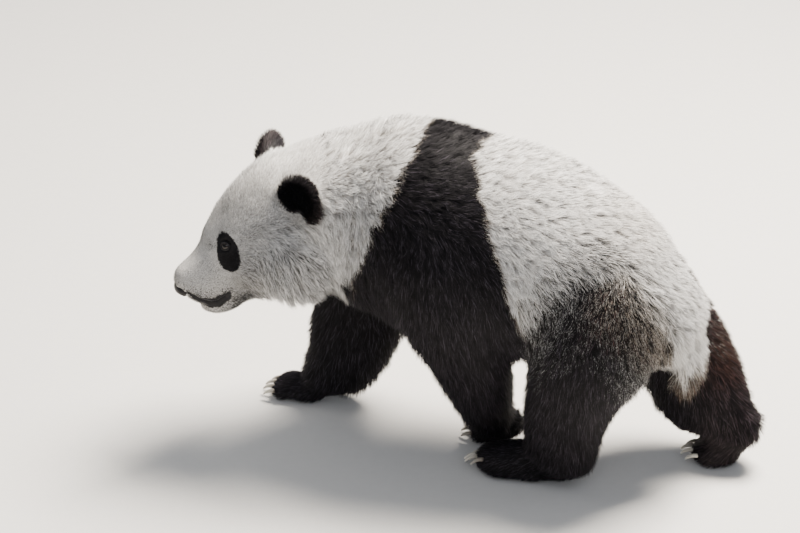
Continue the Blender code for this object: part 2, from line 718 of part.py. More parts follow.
def build():
    """Models the animal whole, parts it and seats the hard pieces."""
    clear_scene()
    parts, masses = new_collection("giant_panda"), new_collection("cutters")
    head_masses(masses)
    ears = [m for m in masses.objects if m.name.startswith("ear_")]
    tail_mass = loft("tail_whole", TAIL, masses, points=12, spans=2)
    body_masses(masses)
    leg_masses(masses)
    rest = [m for m in masses.objects if m not in ears and m != tail_mass]
    whole = flattened(thinned(melted(joined(rest, "whole", masses))))
    skinless = copy_of(whole, "skinless", masses)
    made = ear_solids(skinless, masses, parts)
    made.append(trimmed(tail_mass, skinless, "tail", masses, parts))
    bpy.data.objects.remove(skinless)
    body, legs = leg_pieces(whole, masses, parts)
    made += legs
    head = parted(body, *NECK_FRONT, "head", parts)
    neck = parted(body, *NECK_BACK, "neck", parts)
    body.name = "trunk"
    made += [head, neck, put_in(body, parts)]
    cut_pockets({thing.name: thing for thing in made}, masses)
    made += hard_pieces(0.0, parts)
    finish(made)


build()
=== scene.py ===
"""Giant panda, walking: one skin, a coat of mesh tufts, eyes, nose leather and claws."""

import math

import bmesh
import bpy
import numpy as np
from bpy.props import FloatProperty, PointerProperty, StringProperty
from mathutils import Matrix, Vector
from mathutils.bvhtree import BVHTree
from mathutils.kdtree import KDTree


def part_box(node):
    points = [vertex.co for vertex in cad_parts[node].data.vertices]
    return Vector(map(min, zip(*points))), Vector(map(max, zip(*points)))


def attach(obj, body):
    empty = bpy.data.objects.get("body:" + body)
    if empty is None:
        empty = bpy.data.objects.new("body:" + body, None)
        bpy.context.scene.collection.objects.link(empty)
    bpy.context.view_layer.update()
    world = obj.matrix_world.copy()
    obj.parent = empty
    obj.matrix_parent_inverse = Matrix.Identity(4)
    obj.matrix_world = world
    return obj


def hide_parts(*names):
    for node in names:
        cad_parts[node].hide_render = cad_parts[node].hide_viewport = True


bl_info = {
    "name": "Walking Giant Panda",
    "version": (1, 0, 0),
    "blender": (4, 5, 0),
    "location": "3D View > Sidebar > Panda",
    "description": "Gives the packed panda its skin, coat, eyes, nose leather, claws and studio",
    "category": "Object",
}

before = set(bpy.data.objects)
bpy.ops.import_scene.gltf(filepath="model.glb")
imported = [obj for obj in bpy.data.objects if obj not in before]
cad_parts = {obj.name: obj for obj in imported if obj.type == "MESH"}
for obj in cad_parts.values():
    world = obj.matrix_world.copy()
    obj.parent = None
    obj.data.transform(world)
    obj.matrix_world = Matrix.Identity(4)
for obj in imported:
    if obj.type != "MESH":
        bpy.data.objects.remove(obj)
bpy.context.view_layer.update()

MM = 0.001
SIDES = ("left", "right")


def pair(pattern):
    """The left and the right node of a kind."""
    return tuple(pattern.format(side) for side in SIDES)


EARS, EYES = pair("ear_{}"), pair("eye_{}")
FORE_UPPERS, FORE_LOWERS = pair("foreleg_{}_upper"), pair("foreleg_{}_lower")
HIND_UPPERS, HIND_LOWERS = pair("hindleg_{}_upper"), pair("hindleg_{}_lower")
FOREPAWS, HINDPAWS = pair("forepaw_{}"), pair("hindpaw_{}")
PAWS = FOREPAWS + HINDPAWS
UPPERS = FORE_UPPERS + HIND_UPPERS
LOWERS = FORE_LOWERS + HIND_LOWERS
FORELEGS = FORE_UPPERS + FORE_LOWERS + FOREPAWS
FLESH = (("head", "neck", "trunk", "tail") + EARS + FORELEGS + HIND_UPPERS + HIND_LOWERS
         + HINDPAWS)
NUMBER = {name: number for number, name in enumerate(FLESH)}
# The parts whose markings end where the part does, by the name of their share on the skin.
LIMBS = {"in_foreleg": FORELEGS, "in_hindleg": HIND_LOWERS + HINDPAWS,
         "in_thigh": HIND_UPPERS, "in_ear": EARS}
UNWRAP = "OFBake"


# ---------------------------------------------------------------- places

def middle(node):
    """The centre of a CAD node's box."""
    low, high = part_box(node)
    return np.array((low + high) / 2)


def gap_to(points, nodes):
    """How far each point is from the middle of the nearest of the nodes."""
    return np.min([np.linalg.norm(points - middle(name), axis=1) for name in nodes], axis=0)


def unit(vectors):
    """Vectors of length one."""
    lengths = np.linalg.norm(vectors, axis=-1, keepdims=True)
    return vectors / np.maximum(lengths, 1e-9)


NOSE_DROP = math.radians(42.90)
EYE_AHEAD = 0.127
EYE_BELOW = 0.079
UNDER_WITHERS = np.array((-0.0613, -0.0050, 0.0))


def head_frame():
    """The head's origin and its forward, left and up axes, from the eyes and the nose."""
    left_eye, right_eye = middle("eye_left"), middle("eye_right")
    left = unit(left_eye - right_eye)
    between = (left_eye + right_eye) / 2
    to_nose = middle("nose") - between
    to_nose = unit(to_nose - left * (to_nose @ left))
    square = np.cross(to_nose, left)
    forward = math.cos(NOSE_DROP) * to_nose + math.sin(NOSE_DROP) * square
    up = -math.sin(NOSE_DROP) * to_nose + math.cos(NOSE_DROP) * square
    origin = between - EYE_AHEAD * forward + EYE_BELOW * up
    return origin, np.array((forward, left, up))


HEAD_ORIGIN, HEAD_AXES = head_frame()


def in_head(points):
    """Points as forward, left and up of the head's origin."""
    return (points - HEAD_ORIGIN) @ HEAD_AXES.T


def from_head(local):
    """Points given in the head's frame, in the row frame."""
    return HEAD_ORIGIN + np.asarray(local) @ HEAD_AXES


def step(low, high, values):
    """A smooth rise from 0 at low to 1 at high. High may be the smaller."""
    t = np.clip((values - low) / (high - low), 0, 1)
    return t * t * (3 - 2 * t)


def ripple(points, size, seed):
    """Smooth noise from -1 to 1 with lumps of about that size."""
    draws = np.random.default_rng(seed)
    total = np.zeros(len(points))
    waves = 9
    for _ in range(waves):
        way = unit(draws.normal(size=3)) * (math.tau / size) * draws.uniform(0.6, 1.5)
        total += np.sin(points @ way + draws.uniform(0, math.tau))
    return total / math.sqrt(waves)


# ---------------------------------------------------------------- markings

BAND_TOP = 0.62
BAND_DROP = 0.27
CHEST_TOP = 0.385
# The upper edge of the hindquarters' dark: how high it runs at places along the body.
LEFT_EDGE = ((0.16, 0.300), (0.21, 0.384), (0.25, 0.423), (0.295, 0.450), (0.33, 0.452),
             (0.365, 0.436), (0.39, 0.408), (0.415, 0.360), (0.45, 0.250))
RIGHT_EDGE = ((0.16, 0.300), (0.21, 0.384), (0.25, 0.423), (0.295, 0.450), (0.36, 0.440),
              (0.42, 0.395), (0.46, 0.325), (0.52, 0.270))
MOUTH = ((0.2090, -0.1600), (0.1925, -0.1765), (0.1760, -0.1910), (0.1640, -0.1925),
         (0.1500, -0.1850), (0.1430, -0.1765))


def band_share(points):
    """How black the shoulder band is at each point: its edges slope apart down the side."""
    place = points - UNDER_WITHERS
    x = place[:, 0] + 0.005 * ripple(points, 0.045, 11)
    down = np.clip((BAND_TOP - place[:, 2]) / BAND_DROP, 0, 1.25)
    front = -0.026 - 0.105 * down ** 1.15
    rear = 0.030 + 0.155 * down ** 0.64
    return step(front - 0.004, front + 0.006, x) * step(rear + 0.005, rear - 0.005, x)


def thigh_share(points):
    """How far below the upper edge of the hindquarters' dark a point is, in depths of the fade."""
    place = points - UNDER_WITHERS
    x, z = place[:, 0], place[:, 2]
    near, far = (np.interp(x, *zip(*edge)) for edge in (LEFT_EDGE, RIGHT_EDGE))
    # The right leg is stretched back, and its dark reaches as far and fades faster.
    right = step(0.01, 0.05, place[:, 1])
    top = near + (far - near) * right
    return (top + 0.008 * ripple(points, 0.05, 12) - z) / (0.060 - 0.035 * right)


def eye_patch(local):
    """The black patch round an eye: a slanting drop, wider and lower at the back."""
    along = local[:, 2] + 0.0925
    across = local[:, 0] - 0.1272 + 0.12 * along
    width = 0.0178 - 0.08 * along
    reach = np.hypot(across / width, along / 0.0340)
    return step(1.06, 0.94, reach) * step(0.025, 0.035, np.abs(local[:, 1]))


def mouth_gap(local):
    """The distance from the mouth's line, seen from the side, and how far back along it."""
    flat = local[:, (0, 2)]
    best = np.full(len(flat), 1.0)
    share = np.zeros(len(flat))
    spans = len(MOUTH) - 1
    for i in range(spans):
        start, end = np.array(MOUTH[i]), np.array(MOUTH[i + 1])
        run = end - start
        t = np.clip(((flat - start) @ run) / (run @ run), 0, 1)
        gap = np.linalg.norm(flat - start - t[:, None] * run, axis=1)
        nearer = gap < best
        best = np.where(nearer, gap, best)
        share = np.where(nearer, (i + t) / spans, share)
    return best, share


def lips_and_mouth_shadow(local):
    """The black skin of the lips, thin in front and full towards the corner, where it also takes in
    painted shadow of the mouth.
    """
    gap, share = mouth_gap(local)
    full = np.interp(share, (0, 0.2, 0.4, 0.8, 1), (0.0026, 0.0064, 0.0130, 0.0135, 0.0060))
    gap = gap + 0.0010 * ripple(local, 0.007, 31)
    return step(full * 1.25, full * 0.8, gap) * step(0.135, 0.142, local[:, 0])


# ---------------------------------------------------------------- materials

def tone(code):
    """An sRGB hex colour as the linear colour that shaders take."""
    parts = [int(code[i:i + 2], 16) / 255 for i in (1, 3, 5)]
    linear = [c / 12.92 if c <= 0.04045 else ((c + 0.055) / 1.055) ** 2.4 for c in parts]
    return (*linear, 1.0)


def add_node(tree, kind, settings=None, out=None, **links):
    """Adds a node, sets its properties, and links or fills its inputs by name or as i0, i1.

    A node given as an input links its first output. Gives the node, or the output asked for.
    """
    node = tree.nodes.new(f"ShaderNode{kind}")
    for name, value in (settings or {}).items():
        setattr(node, name, value)
    for name, value in links.items():
        key = int(name[1:]) if name[0] == "i" and name[1:].isdigit() else name.replace("_", " ")
        if isinstance(value, bpy.types.Node):
            value = value.outputs[0]
        if isinstance(value, bpy.types.NodeSocket):
            tree.links.new(value, node.inputs[key])
        else:
            node.inputs[key].default_value = value
    return node if out is None else node.outputs[out]


# Settings of nodes that read a number painted on the mesh, and of one that mixes two colours.
DARK, WARM, ALONG, TONE_AND_GLINT, BARE, TURN = (
    {"attribute_name": name} for name in ("dark", "warm", "along", "tone_and_glint", "bare", "turn"))
COLOURS = {"data_type": "RGBA"}
# White and black hair, each clean and then in its warm tint for stains and painted rim light: the
# colours of its root and its tip, the roots darker as painted shade deep in the coat.
COAT_TONES = ((("#958f86", "#fcfbf9"), ("#8d7657", "#cdb595")),
              (("#040304", "#131114"), ("#120a08", "#35211a")))


def coat_colour(tree, place, along):
    """White and black hair with their warm tint, for stains and painted rim light, as painted on
    skin and tufts alike.
    """
    dark = add_node(tree, "Attribute", DARK, "Fac")
    warm = add_node(tree, "Attribute", WARM, "Fac")
    # Where the paint lies between white and black, hair ends of about 3 mm take one or other.
    ends = add_node(tree, "TexNoise", Vector=place, Scale=330.0, Detail=1.0)
    spread = add_node(tree, "MapRange", Value=ends, i1=0.34, i2=0.66, i4=0.86)
    over = add_node(tree, "Math", {"operation": "SUBTRACT"}, i0=dark, i1=spread)
    cut = add_node(tree, "MapRange", Value=over, i2=0.14)
    # A quarter of the paint itself keeps the cut soft.
    soft = add_node(tree, "Math", {"operation": "MULTIPLY"}, i0=dark, i1=0.25)
    share = add_node(tree, "Math", {"operation": "MULTIPLY_ADD", "use_clamp": True}, i0=cut,
                     i1=0.75, i2=soft)
    coats = []
    for pairs in COAT_TONES:
        clean, stained_and_rim_lit = [add_node(tree, "Mix", COLOURS, 2, i0=along, i6=tone(root), i7=tone(tip))
                          for root, tip in pairs]
        coats.append(add_node(tree, "Mix", COLOURS, 2, i0=warm, i6=clean, i7=stained_and_rim_lit))
    return add_node(tree, "Mix", COLOURS, 2, i0=share, i6=coats[0], i7=coats[1])


def hair_shader(tree, place):
    """Guard-hair keratin: hollow pale hair and dense black hair, dry, with a soft silky glint."""
    dark, along, tone_and_glint = (add_node(tree, "Attribute", paint, "Fac")
                          for paint in (DARK, ALONG, TONE_AND_GLINT))
    # Single hairs of 0.1 mm would not show, so the streaks are drawn about 2 mm wide.
    streak = add_node(tree, "TexNoise", Vector=place, Scale=430.0, Detail=3.0)
    shade = add_node(tree, "MapRange", Value=streak, i1=0.3, i2=0.7, i3=0.74, i4=1.10)
    # Each tuft's tone, with painted glints on the black tufts, scales the colour.
    lively = add_node(tree, "Math", {"operation": "MULTIPLY"}, i0=shade, i1=tone_and_glint)
    bright = add_node(tree, "VectorMath", {"operation": "SCALE"},
                      i0=coat_colour(tree, place, along), Scale=lively)
    gloss = add_node(tree, "MapRange", Value=dark, i3=0.75, i4=0.60)
    bump = add_node(tree, "Bump", Height=streak, Strength=0.35, Distance=0.0004)
    return add_node(tree, "BsdfPrincipled", Base_Color=bright, Roughness=gloss, IOR=1.45,
                    Specular_IOR_Level=0.16, Normal=bump)


def skin_shader(tree, place):
    """Haired hide: short flat fur over skin, mostly seen as fine pile between the tufts."""
    bare = add_node(tree, "Attribute", BARE, "Fac")
    # Flat pile: hair ends about 1.2 mm apart, over pores and folds of about 6 mm.
    pile = add_node(tree, "TexNoise", Vector=place, Scale=620.0, Detail=3.0)
    folds = add_node(tree, "TexNoise", Vector=place, Scale=150.0, Detail=2.0)
    # The pile takes the coat's darker root tones, partly painted shade between the tufts.
    along = add_node(tree, "MapRange", Value=pile, i1=0.3, i2=0.7, i3=0.1, i4=0.7)
    colour = add_node(tree, "Mix", COLOURS, 2, i0=bare, i6=coat_colour(tree, place, along),
                      i7=tone("#0f0d10"))
    gloss = add_node(tree, "MapRange", Value=bare, i3=0.75, i4=0.5)
    coarse = add_node(tree, "Bump", Height=folds, Strength=0.3, Distance=0.0015)
    fine = add_node(tree, "Bump", Height=pile, Strength=0.5, Distance=0.0006, Normal=coarse)
    return add_node(tree, "BsdfPrincipled", Base_Color=colour, Roughness=gloss, IOR=1.45,
                    Specular_IOR_Level=0.3, Normal=fine)


def nose_shader(tree, place):
    """Nose leather: moist black hairless skin in small pebbles, which gives broken wet glints."""
    # The pebbles are about 1.3 mm across.
    pebbles = add_node(tree, "TexVoronoi", Vector=place, Scale=760.0)
    mottle = add_node(tree, "TexNoise", Vector=place, Scale=180.0, Detail=2.0)
    colour = add_node(tree, "Mix", COLOURS, 2, i0=mottle, i6=tone("#0b090b"), i7=tone("#1d191b"))
    gloss = add_node(tree, "MapRange", Value=pebbles, i2=0.7, i3=0.28, i4=0.55)
    bump = add_node(tree, "Bump", {"invert": True}, Height=pebbles, Strength=0.55,
                    Distance=0.0005)
    return add_node(tree, "BsdfPrincipled", Base_Color=colour, Roughness=gloss, IOR=1.42,
                    Specular_IOR_Level=0.35, Normal=bump)


def eye_shader(tree, place):
    """Cornea over a dark brown iris: a wet clear dome, so a sharp small highlight."""
    turn = add_node(tree, "Attribute", TURN, "Fac")
    # Iris fibres, about 0.5 mm apart.
    fibres = add_node(tree, "TexNoise", Vector=place, Scale=1500.0, Detail=2.0)
    iris = add_node(tree, "Mix", COLOURS, 2, i0=fibres, i6=tone("#0e0805"), i7=tone("#20130b"))
    pupil = add_node(tree, "MapRange", Value=turn, i1=0.30, i2=0.36)
    rim = add_node(tree, "MapRange", Value=turn, i1=0.66, i2=0.76)
    colour = add_node(tree, "Mix", COLOURS, 2, i0=pupil, i6=tone("#050405"), i7=iris)
    colour = add_node(tree, "Mix", COLOURS, 2, i0=rim, i6=colour, i7=tone("#14100f"))
    return add_node(tree, "BsdfPrincipled", Base_Color=colour, Roughness=0.12, IOR=1.376,
                    Specular_IOR_Level=0.2, Coat_Weight=0.35, Coat_Roughness=0.02)


def claw_shader(tree, place):
    """Claw horn: grown keratin in lengthwise layers, pale grey-brown with a dull polish."""
    along = add_node(tree, "Attribute", ALONG, "Fac")
    # Growth layers about 1.5 mm apart.
    layers = add_node(tree, "TexNoise", Vector=place, Scale=420.0, Detail=3.0)
    colour = add_node(tree, "Mix", COLOURS, 2, i0=layers, i6=tone("#a8a193"), i7=tone("#e6e0d3"))
    colour = add_node(tree, "Mix", COLOURS, 2, i0=along, i6=tone("#5d554c"), i7=colour)
    bump = add_node(tree, "Bump", Height=layers, Strength=0.3, Distance=0.0003)
    return add_node(tree, "BsdfPrincipled", Base_Color=colour, Roughness=0.38, IOR=1.54,
                    Normal=bump)


def floor_shader(tree, place):
    """Matt studio paper: a plain pale sweep."""
    grain = add_node(tree, "TexNoise", Vector=place, Scale=60.0, Detail=3.0)
    colour = add_node(tree, "Mix", COLOURS, 2, i0=grain, i6=tone("#d6d4d0"), i7=tone("#dcdad6"))
    return add_node(tree, "BsdfPrincipled", Base_Color=colour, Roughness=0.9)


SHADERS = {"guard_hair_keratin": hair_shader, "haired_hide": skin_shader,
           "rhinarium_leather": nose_shader, "wet_cornea": eye_shader,
           "claw_horn_keratin": claw_shader, "studio_paper": floor_shader}


def material_named(name):
    """A material, made at its first use. Its patterns lie on the piece's own coordinates."""
    material = bpy.data.materials.get(name)
    if material is None:
        material = bpy.data.materials.new(name)
        material.use_nodes = True
        tree = material.node_tree
        tree.nodes.clear()
        place = add_node(tree, "TexCoord", out="Object")
        add_node(tree, "OutputMaterial", Surface=SHADERS[name](tree, place))
    return material


# ---------------------------------------------------------------- mesh helpers

WELD = 0.01 * MM


def deselect_all():
    """Leaves nothing selected, as every operator acts on what is."""
    if bpy.context.object and bpy.context.object.mode != "OBJECT":
        bpy.ops.object.mode_set(mode="OBJECT")
    bpy.ops.object.select_all(action="DESELECT")


def select_only(piece):
    """Makes one piece the only selected and the active one."""
    deselect_all()
    piece.select_set(True)
    bpy.context.view_layer.objects.active = piece


def new_piece(name, mesh):
    """A mesh as an object at the origin."""
    piece = bpy.data.objects.new(name, mesh)
    bpy.context.scene.collection.objects.link(piece)
    return piece


def new_primitive(name, make, **settings):
    """One of Blender's own shapes, under that name."""
    deselect_all()
    make(**settings)
    piece = bpy.context.object
    piece.name = piece.data.name = name
    return piece


def made_of(work, name):
    """A bmesh's faces as a piece of that name."""
    mesh = bpy.data.meshes.new(name)
    work.to_mesh(mesh)
    work.free()
    return new_piece(name, mesh)


def welded(nodes, name):
    """CAD nodes' meshes welded into one piece of that name."""
    work = bmesh.new()
    for node in nodes:
        work.from_mesh(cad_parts[node].data)
    bmesh.ops.remove_doubles(work, verts=work.verts, dist=WELD)
    return made_of(work, name)


def clothe(piece, material):
    """Shades a piece smooth and gives it its one material."""
    piece.data.shade_smooth()
    piece.data.materials.append(material_named(material))


def add_modifier(piece, kind, **settings):
    """Adds a modifier and applies it."""
    modifier = piece.modifiers.new(kind.title(), kind)
    for name, value in settings.items():
        setattr(modifier, name, value)
    select_only(piece)
    bpy.ops.object.modifier_apply(modifier=modifier.name)


def read_out(rows, field, width, kind=np.float32):
    """One field of all the rows of a mesh, such as its points' places."""
    flat = np.empty(len(rows) * width, kind)
    rows.foreach_get(field, flat)
    return flat.reshape(-1, width) if width > 1 else flat


def places(mesh):
    """The mesh's points as rows."""
    return read_out(mesh.vertices, "co", 3).astype(float)


def normals_of(mesh):
    """The mesh's point normals as rows."""
    return read_out(mesh.vertex_normals, "vector", 3).astype(float)


def move_to(mesh, points):
    """Puts the mesh's points there."""
    mesh.vertices.foreach_set("co", points.astype(np.float32).ravel())
    mesh.update()


def paint(mesh, name, values):
    """Stores a number or a vector for each point."""
    kind, field = ("FLOAT", "value") if values.ndim == 1 else ("FLOAT_VECTOR", "vector")
    layer = mesh.attributes.get(name) or mesh.attributes.new(name, kind, "POINT")
    layer.data.foreach_set(field, values.astype(np.float32).ravel())


def painted_on(mesh, name):
    """Reads back what paint stored."""
    layer = mesh.attributes[name]
    field, width = ("vector", 3) if layer.data_type == "FLOAT_VECTOR" else ("value", 1)
    return read_out(layer.data, field, width).astype(float)


def smoothed(mesh, values, rounds):
    """Values spread to their neighbours along the edges, that many times."""
    one, two = read_out(mesh.edges, "vertices", 2, np.int32).T
    size = len(mesh.vertices)
    count = np.maximum(np.bincount(one, minlength=size) + np.bincount(two, minlength=size), 1)
    rows = values.reshape(size, -1).astype(float)
    for _ in range(rounds):
        for k in range(rows.shape[1]):
            column = rows[:, k]
            near = np.bincount(one, column[two], size) + np.bincount(two, column[one], size)
            rows[:, k] = 0.4 * column + 0.6 * near / count
    return rows.reshape(values.shape)


# ---------------------------------------------------------------- skin

VOXEL = 5.7 * MM
INSET_VOXEL = VOXEL * 0.92
# For each node: the coat's depth and its tufts' length and width in mm, then how many tufts
# grow on a square centimetre of skin.
COAT = {("head",): (8, 11, 1.35, 52), ("neck",): (15, 26, 1.9, 27),
        ("trunk",): (13, 25, 2.0, 22.5), ("tail",): (17, 33, 2.3, 38), EARS: (5, 17, 1.7, 80),
        UPPERS: (12, 27, 2.1, 24), LOWERS: (11, 28, 2.0, 26), PAWS: (4.5, 14, 1.5, 42)}
# What the muzzle and the cheeks add to the head's own row.
ON_MUZZLE = (-5.8, -5.5, -0.5, 20)
ON_CHEEK = (8, 25, 0.75, -22)
COAT_ROWS = np.array([row for name in FLESH for names, row in COAT.items() if name in names])
COAT_UNITS = (MM, MM, MM, 1)


def flesh_tree():
    """A search tree over the flesh nodes' faces, and each face's node number."""
    corners, faces, owners = [], [], []
    for number, name in enumerate(FLESH):
        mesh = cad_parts[name].data
        base = len(corners)
        corners += [vertex.co.copy() for vertex in mesh.vertices]
        for face in mesh.polygons:
            faces.append([base + corner for corner in face.vertices])
            owners.append(number)
    return BVHTree.FromPolygons(corners, faces), owners


def nearest_nodes(points):
    """The number of the flesh node nearest to each point."""
    tree, owners = flesh_tree()
    return np.array([owners[tree.find_nearest(Vector(point))[2]] for point in points])


def filled_body():
    """The flesh as one closed surface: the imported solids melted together."""
    body = welded(FLESH + EYES + ("nose",), "skin")
    add_modifier(body, "REMESH", mode="VOXEL", voxel_size=VOXEL)
    add_modifier(body, "SMOOTH", factor=0.5, iterations=8)
    return body


def belong(owners, names):
    """Which places belong to the named nodes."""
    return np.isin(owners, [NUMBER[name] for name in names])


def head_shares(local):
    """How much of each head point is muzzle and how much is cheek."""
    muzzle = step(0.085, 0.150, local[:, 0])
    cheek = step(0.120, 0.050, local[:, 0]) * step(-0.030, -0.110, local[:, 2])
    return muzzle, cheek


def coat_at(points, owners):
    """The coat's depth, its tufts' length and width, and their number, at each place."""
    head = belong(owners, ("head",))
    muzzle, cheek = (head * share for share in head_shares(in_head(points)))
    return (COAT_ROWS[owners] + muzzle[:, None] * ON_MUZZLE
            + cheek[:, None] * ON_CHEEK) * COAT_UNITS


def inset(body):
    """Draws the surface in by the coat's depth and melts what folds over."""
    mesh = body.data
    points = places(mesh)
    depth = smoothed(mesh, coat_at(points, nearest_nodes(points))[:, :1], 14)
    move_to(mesh, points - normals_of(mesh) * depth)
    add_modifier(body, "REMESH", mode="VOXEL", voxel_size=INSET_VOXEL)
    add_modifier(body, "SMOOTH", factor=0.5, iterations=4)


def refine(body, chosen):
    """Splits the faces whose centres are chosen into four."""
    work = bmesh.new()
    work.from_mesh(body.data)
    centres = np.array([face.calc_center_median() for face in work.faces])
    picked = chosen(in_head(centres))
    edges = {edge for face, take in zip(work.faces, picked) if take for edge in face.edges}
    ordered = sorted(edges, key=lambda edge: edge.index)
    bmesh.ops.subdivide_edges(work, edges=ordered, cuts=1, use_grid_fill=True)
    work.to_mesh(body.data)
    work.free()


def on_face(local):
    """The front of the head, where the skin is finest."""
    return (local[:, 0] > 0.085) & (np.abs(local[:, 1]) < 0.085) & (local[:, 2] < 0.0)


def on_muzzle(local):
    """The lips and the nose's surroundings."""
    return (local[:, 0] > 0.130) & (np.abs(local[:, 1]) < 0.055) & (local[:, 2] < -0.115)


EYE_SPAN = 10.2 * MM
EYE_PROUD = 3.4 * MM
EYE_FORE = 4.0 * MM
LID_WIDE = math.radians(43)
LID_TALL = math.radians(33)


def eye_seat(side):
    """Where the skin lies level round an eye, and the way that the eye looks out from it."""
    body = bpy.data.objects["skin"].data
    points, normals = places(body), normals_of(body)
    socket = middle(f"eye_{side}") + HEAD_AXES[0] * EYE_FORE
    reach = np.linalg.norm(points - socket, axis=1)
    ring = (reach > 0.015) & (reach < 0.021)
    gaze = unit(normals[ring].mean(0))
    level = ((points[ring] - socket) @ gaze).mean()
    return socket + gaze * level, gaze


def seat_eyes(points):
    """Flattens the skin under the eyes, so that the eyeballs stand clear of it."""
    for side in SIDES:
        seat, gaze = eye_seat(side)
        rel = points - seat
        height = rel @ gaze
        reach = np.linalg.norm(rel - height[:, None] * gaze, axis=1)
        floor = -0.0030 * step(0.0115, 0.0060, reach)
        lower = np.minimum(height, floor) - height
        share = step(0.0150, 0.0110, reach) * (np.abs(height) < 0.02)
        points = points + (lower * share)[:, None] * gaze
    return points


def carve_face(body):
    """The mouth's groove with fuller lips beside it, the philtrum and the eye sockets."""
    mesh = body.data
    points = places(mesh)
    local = in_head(points)
    gap, share = mouth_gap(local)
    ahead = step(0.130, 0.145, local[:, 0])
    groove = np.exp(-(gap / 0.0026) ** 2) * (0.0030 + 0.0022 * share)
    lip = np.exp(-((gap - 0.0070) / 0.0035) ** 2) * 0.0012
    philtrum = np.exp(-(local[:, 1] / 0.0018) ** 2) * 0.0016
    philtrum *= step(0.196, 0.204, local[:, 0]) * step(-0.145, -0.155, local[:, 2])
    chin = 0.0045 * step(-0.198, -0.210, local[:, 2]) * step(0.105, 0.135, local[:, 0])
    moved = (lip - groove) * ahead - philtrum + chin
    move_to(mesh, seat_eyes(points + normals_of(mesh) * moved[:, None]))


def leg_way(upper, paw):
    """The way down a leg from its shoulder or hip to its paw."""
    low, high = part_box(upper)
    top = np.array(((low.x + high.x) / 2, (low.y + high.y) / 2, high.z))
    return unit(middle(paw) - top)


def lie_of_coat(points, normals, owners):
    """The way the hair points at each place, before it is smoothed and laid flat."""
    lie = np.empty((len(points), 3))
    side = 1 - np.abs(normals[:, 2:3])
    local = in_head(points)
    _, cheek = head_shares(local)
    # On the face the hair runs away from the nose's tip, and down on the cheeks.
    face = unit(local - (0.215, 0.0, -0.150)) + cheek[:, None] * (0.10, 0.0, -1.70)
    ways = {"trunk": (1.0, 0.0, 0.0) + side * (-0.35, 0.0, -0.80),
            "neck": (0.9, 0.1, -0.1) + side * (-0.35, 0.0, -1.0),
            "head": unit(face) @ HEAD_AXES}
    for name, way in ways.items():
        mine = belong(owners, (name,))
        lie[mine] = way[mine]
    for ear in EARS:
        mine = belong(owners, (ear,))
        root = middle(ear) * 0.6 + middle("head") * 0.4
        lie[mine] = unit(points[mine] - root)
    for upper, lower, paw in zip(UPPERS, LOWERS, PAWS):
        lie[belong(owners, (upper, lower))] = leg_way(upper, paw) + (0.25, 0, 0)
    lie[belong(owners, PAWS)] = (-0.9, 0.0, -0.45)
    lie[belong(owners, ("tail",))] = (0.25, 0.0, -1.0)
    return unit(lie)


def laid_flat(lie, normals):
    """Ways with what leads out of the skin taken off."""
    return unit(lie - normals * (lie * normals).sum(1, keepdims=True))


def paint_skin(body):
    """Stores on the skin what the coat and the materials read."""
    mesh = body.data
    points, normals = places(mesh), normals_of(mesh)
    # Each place belongs to the node whose outline lies over it.
    outline = points + normals * coat_at(points, nearest_nodes(points))[:, :1]
    owners = nearest_nodes(outline)
    paint(mesh, "owner", owners.astype(float))
    lie = smoothed(mesh, lie_of_coat(points, normals, owners), 30)
    paint(mesh, "lie", laid_flat(lie, normals))
    sizes = smoothed(mesh, coat_at(points, owners), 10)
    limbs = np.stack([belong(owners, names) for names in LIMBS.values()], 1)
    limbs = smoothed(mesh, limbs, 5)
    for k, name in enumerate(("hair_depth", "hair_length", "hair_width", "hair_number")):
        paint(mesh, name, sizes[:, k])
    for k, name in enumerate(LIMBS):
        paint(mesh, name, limbs[:, k])
    local = in_head(points)
    dark, warm, _ = markings(points, limbs, local)
    soles = step(0.012, 0.004, points[:, 2]) * step(-0.5, -0.8, normals[:, 2])
    paint(mesh, "dark", dark)
    paint(mesh, "warm", warm)
    paint(mesh, "bare", np.maximum(lips_and_mouth_shadow(local), soles))


